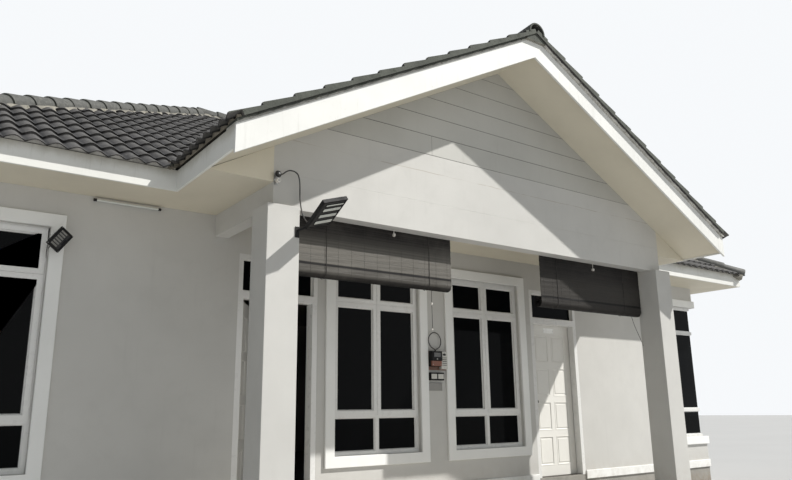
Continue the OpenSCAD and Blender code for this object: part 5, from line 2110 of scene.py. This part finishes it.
@dataclass
class FloodLamp:
    """Trim of the floodlight: lens, bezel screws, cooling fins and its yoke."""

    finishes: Finishes
    place: Point = (-4.449, -0.110, 2.463)
    turn: Point = (18.0, -55.0, 0.0)
    half_w: float = 0.100
    half_h: float = 0.068
    front: float = -0.050
    rim: float = 0.012
    fins: int = 9
    rows: int = 6
    row_low: float = -0.020

    def build(self) -> None:
        """Make the trim over the CAD housing."""
        shape, rim, w, h, y = Shape(), self.rim, self.half_w, self.half_h, self.front
        shape.border((-w, -h), (w, h), [(0.0, y + 0.002), (0.0, y - 0.006), (rim, y - 0.006),
                                        (rim + 0.004, y + 0.002)], 0)
        shape.block((rim - w, y - 0.0015, rim - h), (w - rim, y + 0.001, h - rim), 1)
        shape.border((rim - w, rim - h), (w - rim, h - rim), [
            (0.002, y - 0.0012), (0.002, y - 0.0040), (0.008, y - 0.0034), (0.008, y - 0.0010)], 0)
        for x in np.linspace(rim + 0.020 - w, w - rim - 0.020, self.rows):
            shape.block((x - 0.0080, y - 0.0034, self.row_low), (x + 0.0080, y - 0.0010, h - rim - 0.012), 3)
        shape.block((-0.030, y - 0.0110, 0.010 - h), (0.030, y - 0.0005, 0.030 - h), 0)
        for x in np.linspace(-0.068, 0.068, self.fins):
            shape.block((x - 0.0016, 0.016, -0.046), (x + 0.0016, 0.034, 0.046), 0)
        for sx in (-1, 1):
            for sz in (-1, 1):
                shape.lathe([(0.0034, -0.001), (0.0034, 0.0008), (0.0024, 0.0014), (0.0008, 0.0015)], 10,
                            facing_out(sx * (w - 0.006), y - 0.006, sz * (h - 0.006)), 2)
        angle = np.linspace(0.0, math.pi, 13)
        strap = np.stack([1.12 * w * np.cos(angle), 0.004 + 0.026 * np.sin(angle), np.zeros(13)], -1)
        ends = strap[[0, -1]] - (0, 0.012, 0)
        shape.tube(np.concatenate([ends[:1], strap, ends[1:]]), 0.0035, 8, 0)
        placed = Shape().join(shape, tilted(self.place, self.turn))
        placed.piece("floodlight_trim", self.finishes.take("black slot steel diode"), "lamp_metal",
                     bevel=0.0006)


@dataclass
class SmallFittings:
    """Tube lamp, wire insulators and the white pulleys under the beam."""

    finishes: Finishes
    bracket: Point = (-2.905, -1.362, 2.980)
    pulleys: tuple[Point, ...] = ((-1.530, -1.290, 2.655), (1.593, -1.290, 2.624))
    beam_low: float = 2.720
    wraps: int = 4

    def tube_lamp(self) -> None:
        """Make the slim lamp: a tray with sloped sides, a round tube and two end caps."""
        (x0, y0, z0), (x1, y1, z1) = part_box("tube_light")
        shape, axis = Shape(), (y0 + 0.013, z0 + 0.013)
        tray = np.array([(y1, z1), (y1, z1 - 0.012), (y0 + 0.004, z1 - 0.012), (y0 + 0.010, z1)])
        shape.prism(tray, x0, x1, ALONG_X)
        for start, end, radius, mark in ((x0 + 0.030, x1 - 0.030, 0.0125, 1),
                                         (x0 + 0.003, x0 + 0.032, 0.0140, 2),
                                         (x1 - 0.032, x1 - 0.003, 0.0140, 2)):
            path = [(x, *axis) for x in (start, start + 0.002, end - 0.002, end)]
            shape.tube(np.array(path), radius, 20, mark)
        for x in (x0 + 0.006, x1 - 0.026):
            shape.block((x, y0 + 0.006, z0 + 0.014), (x + 0.020, y1 - 0.001, z1 - 0.010))
        shape.piece("tube_lamp", self.finishes.take("porcelain lamp_glass black"), "white_plastic",
                    smooth=40.0, bevel=0.0008, node="tube_light")

    def insulators(self) -> None:
        """Make two bobbins on the wire bracket, the upper bound with black tape and wire, and its screws."""
        shape, (x, y, z) = Shape(), self.bracket
        half = [(0.0085, -0.001), (0.0200, 0.000), (0.0212, 0.004), (0.0206, 0.011), (0.0203, 0.015)]
        bobbin = half + [(0.0203, 0.023), (0.0206, 0.027), (0.0212, 0.034), (0.0200, 0.0382), (0.0085, 0.039)]
        for dz, mark in ((-0.032, 0), (0.032, 2)):
            turn = FRONT @ facing_out(x, y - 0.034, z + dz)
            shape.lathe(bobbin, 20, turn, mark)
            shape.lathe([(0.0100, 0.039), (0.0100, 0.045), (0.0086, 0.047), (0.0020, 0.0475)], 6, turn, 1)
        for dz in (-0.052, 0.052):
            shape.lathe([(0.0060, -0.001), (0.0058, 0.0012), (0.0040, 0.0026), (0.0010, 0.0030)], 12,
                        FRONT @ facing_out(x, y - 0.006, z + dz), 1)
        coil = np.linspace(0.0, 2 * math.pi * self.wraps, 20 * self.wraps + 1)
        level = 0.0165 + 0.0052 * np.abs(np.mod(coil / math.pi + 1, 4) - 2) / 2
        radius = 0.0235 + 0.0052 * np.floor(coil / (4 * math.pi))
        wire = np.stack([x + radius * np.cos(coil), y - 0.034 - level, z + 0.032 + radius * np.sin(coil)], -1)
        shape.tube(moved(wire, FRONT), 0.0030, 8, 2)
        shape.piece("wire_insulators", self.finishes.take("porcelain steel cable"), "steel", smooth=30.0)

    def beam_pulleys(self) -> None:
        """Make the white pulleys of the blinds: a screw eye under the beam and a grooved wheel on it."""
        shape = Shape()
        wheel = [(0.0015, -0.0095), (0.0165, -0.0090), (0.0190, -0.0070), (0.0185, -0.0045),
                 (0.0140, -0.0010)]
        wheel += [(radius, -level) for radius, level in wheel[::-1]]
        for x, y, z in self.pulleys:
            levels = (self.beam_low - 0.0005, (self.beam_low + z) / 2, z + 0.004)
            shape.tube(moved(np.array([(x, y, level) for level in levels]), FRONT), 0.0030, 8)
            shape.lathe(wheel, 20, FRONT @ shift(x, y, z) @ spin(90.0, "Y"))
        shape.piece("beam_pulleys", self.finishes.take("porcelain"), "white_plastic", smooth=40.0)

    def build(self) -> None:
        """Make the fittings."""
        self.tube_lamp()
        self.insulators()
        self.beam_pulleys()


# Light and camera


@dataclass(frozen=True)
class PhotoCamera:
    """Camera solved from the photograph: place, turn and lens."""

    place: Point = (-5.596, -10.505, 1.214)
    yaw: float = 36.03
    pitch: float = 13.67
    roll: float = -0.74
    lens: float = 31.85

    def build(self) -> None:
        """Place the camera and make it the scene's."""
        yaw, pitch, roll = (math.radians(a) for a in (self.yaw, self.pitch, self.roll))
        forward = Vector((math.sin(yaw) * math.cos(pitch), math.cos(yaw) * math.cos(pitch), math.sin(pitch)))
        right = forward.cross(Vector((0, 0, 1))).normalized()
        up = right.cross(forward)
        turned = right * math.cos(roll) + up * math.sin(roll)
        raised = up * math.cos(roll) - right * math.sin(roll)
        data = bpy.data.cameras.new("photo_camera")
        data.sensor_width = 36.0
        data.lens = self.lens
        data.clip_end = 300.0
        camera = bpy.data.objects.new("photo_camera", data)
        axes = Matrix((turned, raised, -forward)).transposed().to_4x4()
        camera.matrix_world = Matrix.Translation(self.place) @ axes
        bpy.context.scene.collection.objects.link(camera)
        bpy.context.scene.camera = camera


@dataclass(frozen=True)
class Studio:
    """Pale floor and world, one broad key lamp from the right and a soft fill."""

    key_from: Point = (0.75, -0.60, 1.0)
    key_strength: float = 4.85
    key_angle: float = 0.8
    fill_from: Point = (0.25, -1.0, 0.22)
    fill_strength: float = 0.25
    fill_angle: float = 50.0
    warmth: Colour = (1.0, 0.982, 0.945)
    sky: Colour = (0.83, 0.93, 1.0)
    sky_strength: float = 0.23
    backdrop: Colour = (0.93, 0.95, 0.97)
    ground: float = 0.46
    reach: float = 90.0

    def build(self) -> None:
        """Make floor, world and lamps."""
        scene = bpy.context.scene
        scene.view_settings.view_transform = "Standard"
        self.lamp(scene, "key", self.key_from, self.key_strength, self.key_angle)
        self.lamp(scene, "front_fill", self.fill_from, self.fill_strength, self.fill_angle)
        self.world(scene)
        self.floor(scene)

    def lamp(self, scene: bpy.types.Scene, name: str, way: Point, strength: float, angle: float) -> None:
        """Add a warm lamp at a great distance.

        Args:
            scene: The scene that gets the lamp.
            name: Name of the lamp.
            way: Direction towards the lamp.
            strength: Its strength.
            angle: Its apparent width in degrees; the wider, the softer the shadows.
        """
        sun = bpy.data.lights.new(name, "SUN")
        sun.energy = strength
        sun.angle = math.radians(angle)
        sun.color = self.warmth
        lamp = bpy.data.objects.new(name, sun)
        lamp.rotation_mode = "QUATERNION"
        lamp.rotation_quaternion = Vector(way).to_track_quat("Z", "Y")
        lamp.location = Vector(way) * 30
        scene.collection.objects.link(lamp)

    def world(self, scene: bpy.types.Scene) -> None:
        """Soft sky light, and a plain white backdrop for the camera and for mirrors and glass.

        Args:
            scene: The scene that gets the world.
        """
        world = bpy.data.worlds.new("studio_sky")
        scene.world = world
        world.use_nodes = True
        graph = Graph(world.node_tree)
        sky = graph.node("Background", {"Color": self.sky, "Strength": self.sky_strength})
        back = graph.node("Background", {"Color": self.backdrop, "Strength": 1.0})
        seen = graph.node("LightPath", {}, "Is Camera Ray")
        for ray in ("Is Glossy Ray", "Is Transmission Ray"):
            seen = graph.node("Math", {0: seen, 1: graph.node("LightPath", {}, ray)}, operation="MAXIMUM")
        graph.node("OutputWorld", {"Surface": graph.node("MixShader", {0: seen, 1: sky, 2: back})})

    def floor(self, scene: bpy.types.Scene) -> None:
        """A plain pale floor at ground level.

        Args:
            scene: The scene that gets the floor.
        """
        corners = [(x * self.reach, y * self.reach, -0.002) for x, y in ((-1, -1), (1, -1), (1, 1), (-1, 1))]
        mesh = bpy.data.meshes.new("floor")
        mesh.from_pydata(corners, [], [(0, 1, 2, 3)])
        bench, pale = Bench("pale_floor"), (self.ground,) * 3
        tone = bench.over(pale, dim(pale, 0.97), bench.noise(0.4, 3.0, 0.5), 0.3, 0.7)
        mesh.materials.append(bench.shade(tone, 0.9))
        floor = bpy.data.objects.new("floor", mesh)
        scene.collection.objects.link(floor)


# Dressing of the frame's own nodes


NODE_FINISHES = {
    "concrete": "base_wall floor_slab",
    "screed": "porch_floor",
    "white": "plinth_band window_surrounds corner_surrounds",
    "wall": "front_wall_left front_wall_middle front_wall_right door_heads left_wall right_wall back_wall "
            "porch_columns porch_beams",
    "pediment": "pediment_wall",
    "plank": "pediment_planks",
    "frame": "window_frames corner_window_frames door_frames",
    "glass": "window_glass corner_glass transom_glass",
    "door": "left_door_leaf right_door_leaf",
    "brass": "door_hinge_pins left_door_hardware right_door_hardware",
    "soffit": "ceiling_boards soffit_boards rake_soffits",
    "board": "fascia_boards",
    "barge": "barge_boards",
    "tile": "main_roof porch_roof",
    "cap": "ridge_caps",
    "bamboo": "left_blind",
    "deep_bamboo": "right_blind",
    "string": "blind_cords",
    "black": "meter_boxes meter_cable solar_light floodlight",
    "grey": "tube_light",
    "steel": "wire_bracket",
}
NODE_EDGES = {
    0.008: "plinth_band porch_floor",
    0.005: "window_surrounds corner_surrounds porch_columns",
    0.003: "fascia_boards barge_boards door_frames solar_light floodlight",
    0.002: "left_door_leaf right_door_leaf window_frames corner_window_frames pediment_planks porch_beams",
}


def dress_nodes(finishes: Finishes) -> None:
    """Give each CAD node its finish.

    Args:
        finishes: The materials.
    """
    for finish, nodes in NODE_FINISHES.items():
        for node in nodes.split():
            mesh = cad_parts[node].data
            mesh.materials.clear()
            mesh.materials.append(finishes.made[finish])
        LOG.info("%s on: %s", finish, nodes)


def soften_nodes() -> None:
    """Round the sharp edges of the frame's own nodes: merge their triangles, flatten faces, then bevel."""
    for width, nodes in NODE_EDGES.items():
        for node in nodes.split():
            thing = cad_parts[node]
            joined = thing.modifiers.new("joined", "WELD")
            joined.merge_threshold = 1e-5
            flat = thing.modifiers.new("flat_faces", "DECIMATE")
            flat.decimate_type = "DISSOLVE"
            flat.angle_limit = math.radians(0.5)
            round_edges(thing, width)
        LOG.info("edges rounded by %.3f m: %s", width, nodes)


def write_sizes() -> None:
    """Bring the view layer up to date."""
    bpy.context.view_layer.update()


def main() -> None:
    """Build the scene piece by piece."""
    logging.basicConfig(level=logging.INFO, format="%(name)s %(message)s")
    PhotoCamera().build()
    Studio().build()
    finishes = Finishes()
    Cords(finishes).build()
    dress_nodes(finishes)
    soften_nodes()
    TiledRoof("main_roof_tiles", "main_roof", main_slopes(), finishes).build()
    TiledRoof("porch_roof_tiles", "porch_roof", porch_slopes(), finishes).build()
    RidgeCaps(cap_runs(), finishes).build()
    MortarLines(finishes).build()
    WindowTrim(finishes).build()
    DoorTrim(finishes).build()
    for side, keys, cord_x in (("left", "bamboo string", (-2.270, -1.010)),
                               ("right", "deep_bamboo string", (1.000, 2.300))):
        RollBlind(f"{side}_bamboo_blind", f"{side}_blind", finishes.take(keys), cord_x).build()
    PlankJointShade(finishes).build()
    MeterBoard(finishes).build()
    SolarLamp(finishes).build()
    FloodLamp(finishes).build()
    SmallFittings(finishes).build()
    write_sizes()


if __name__ == "__main__":
    main()
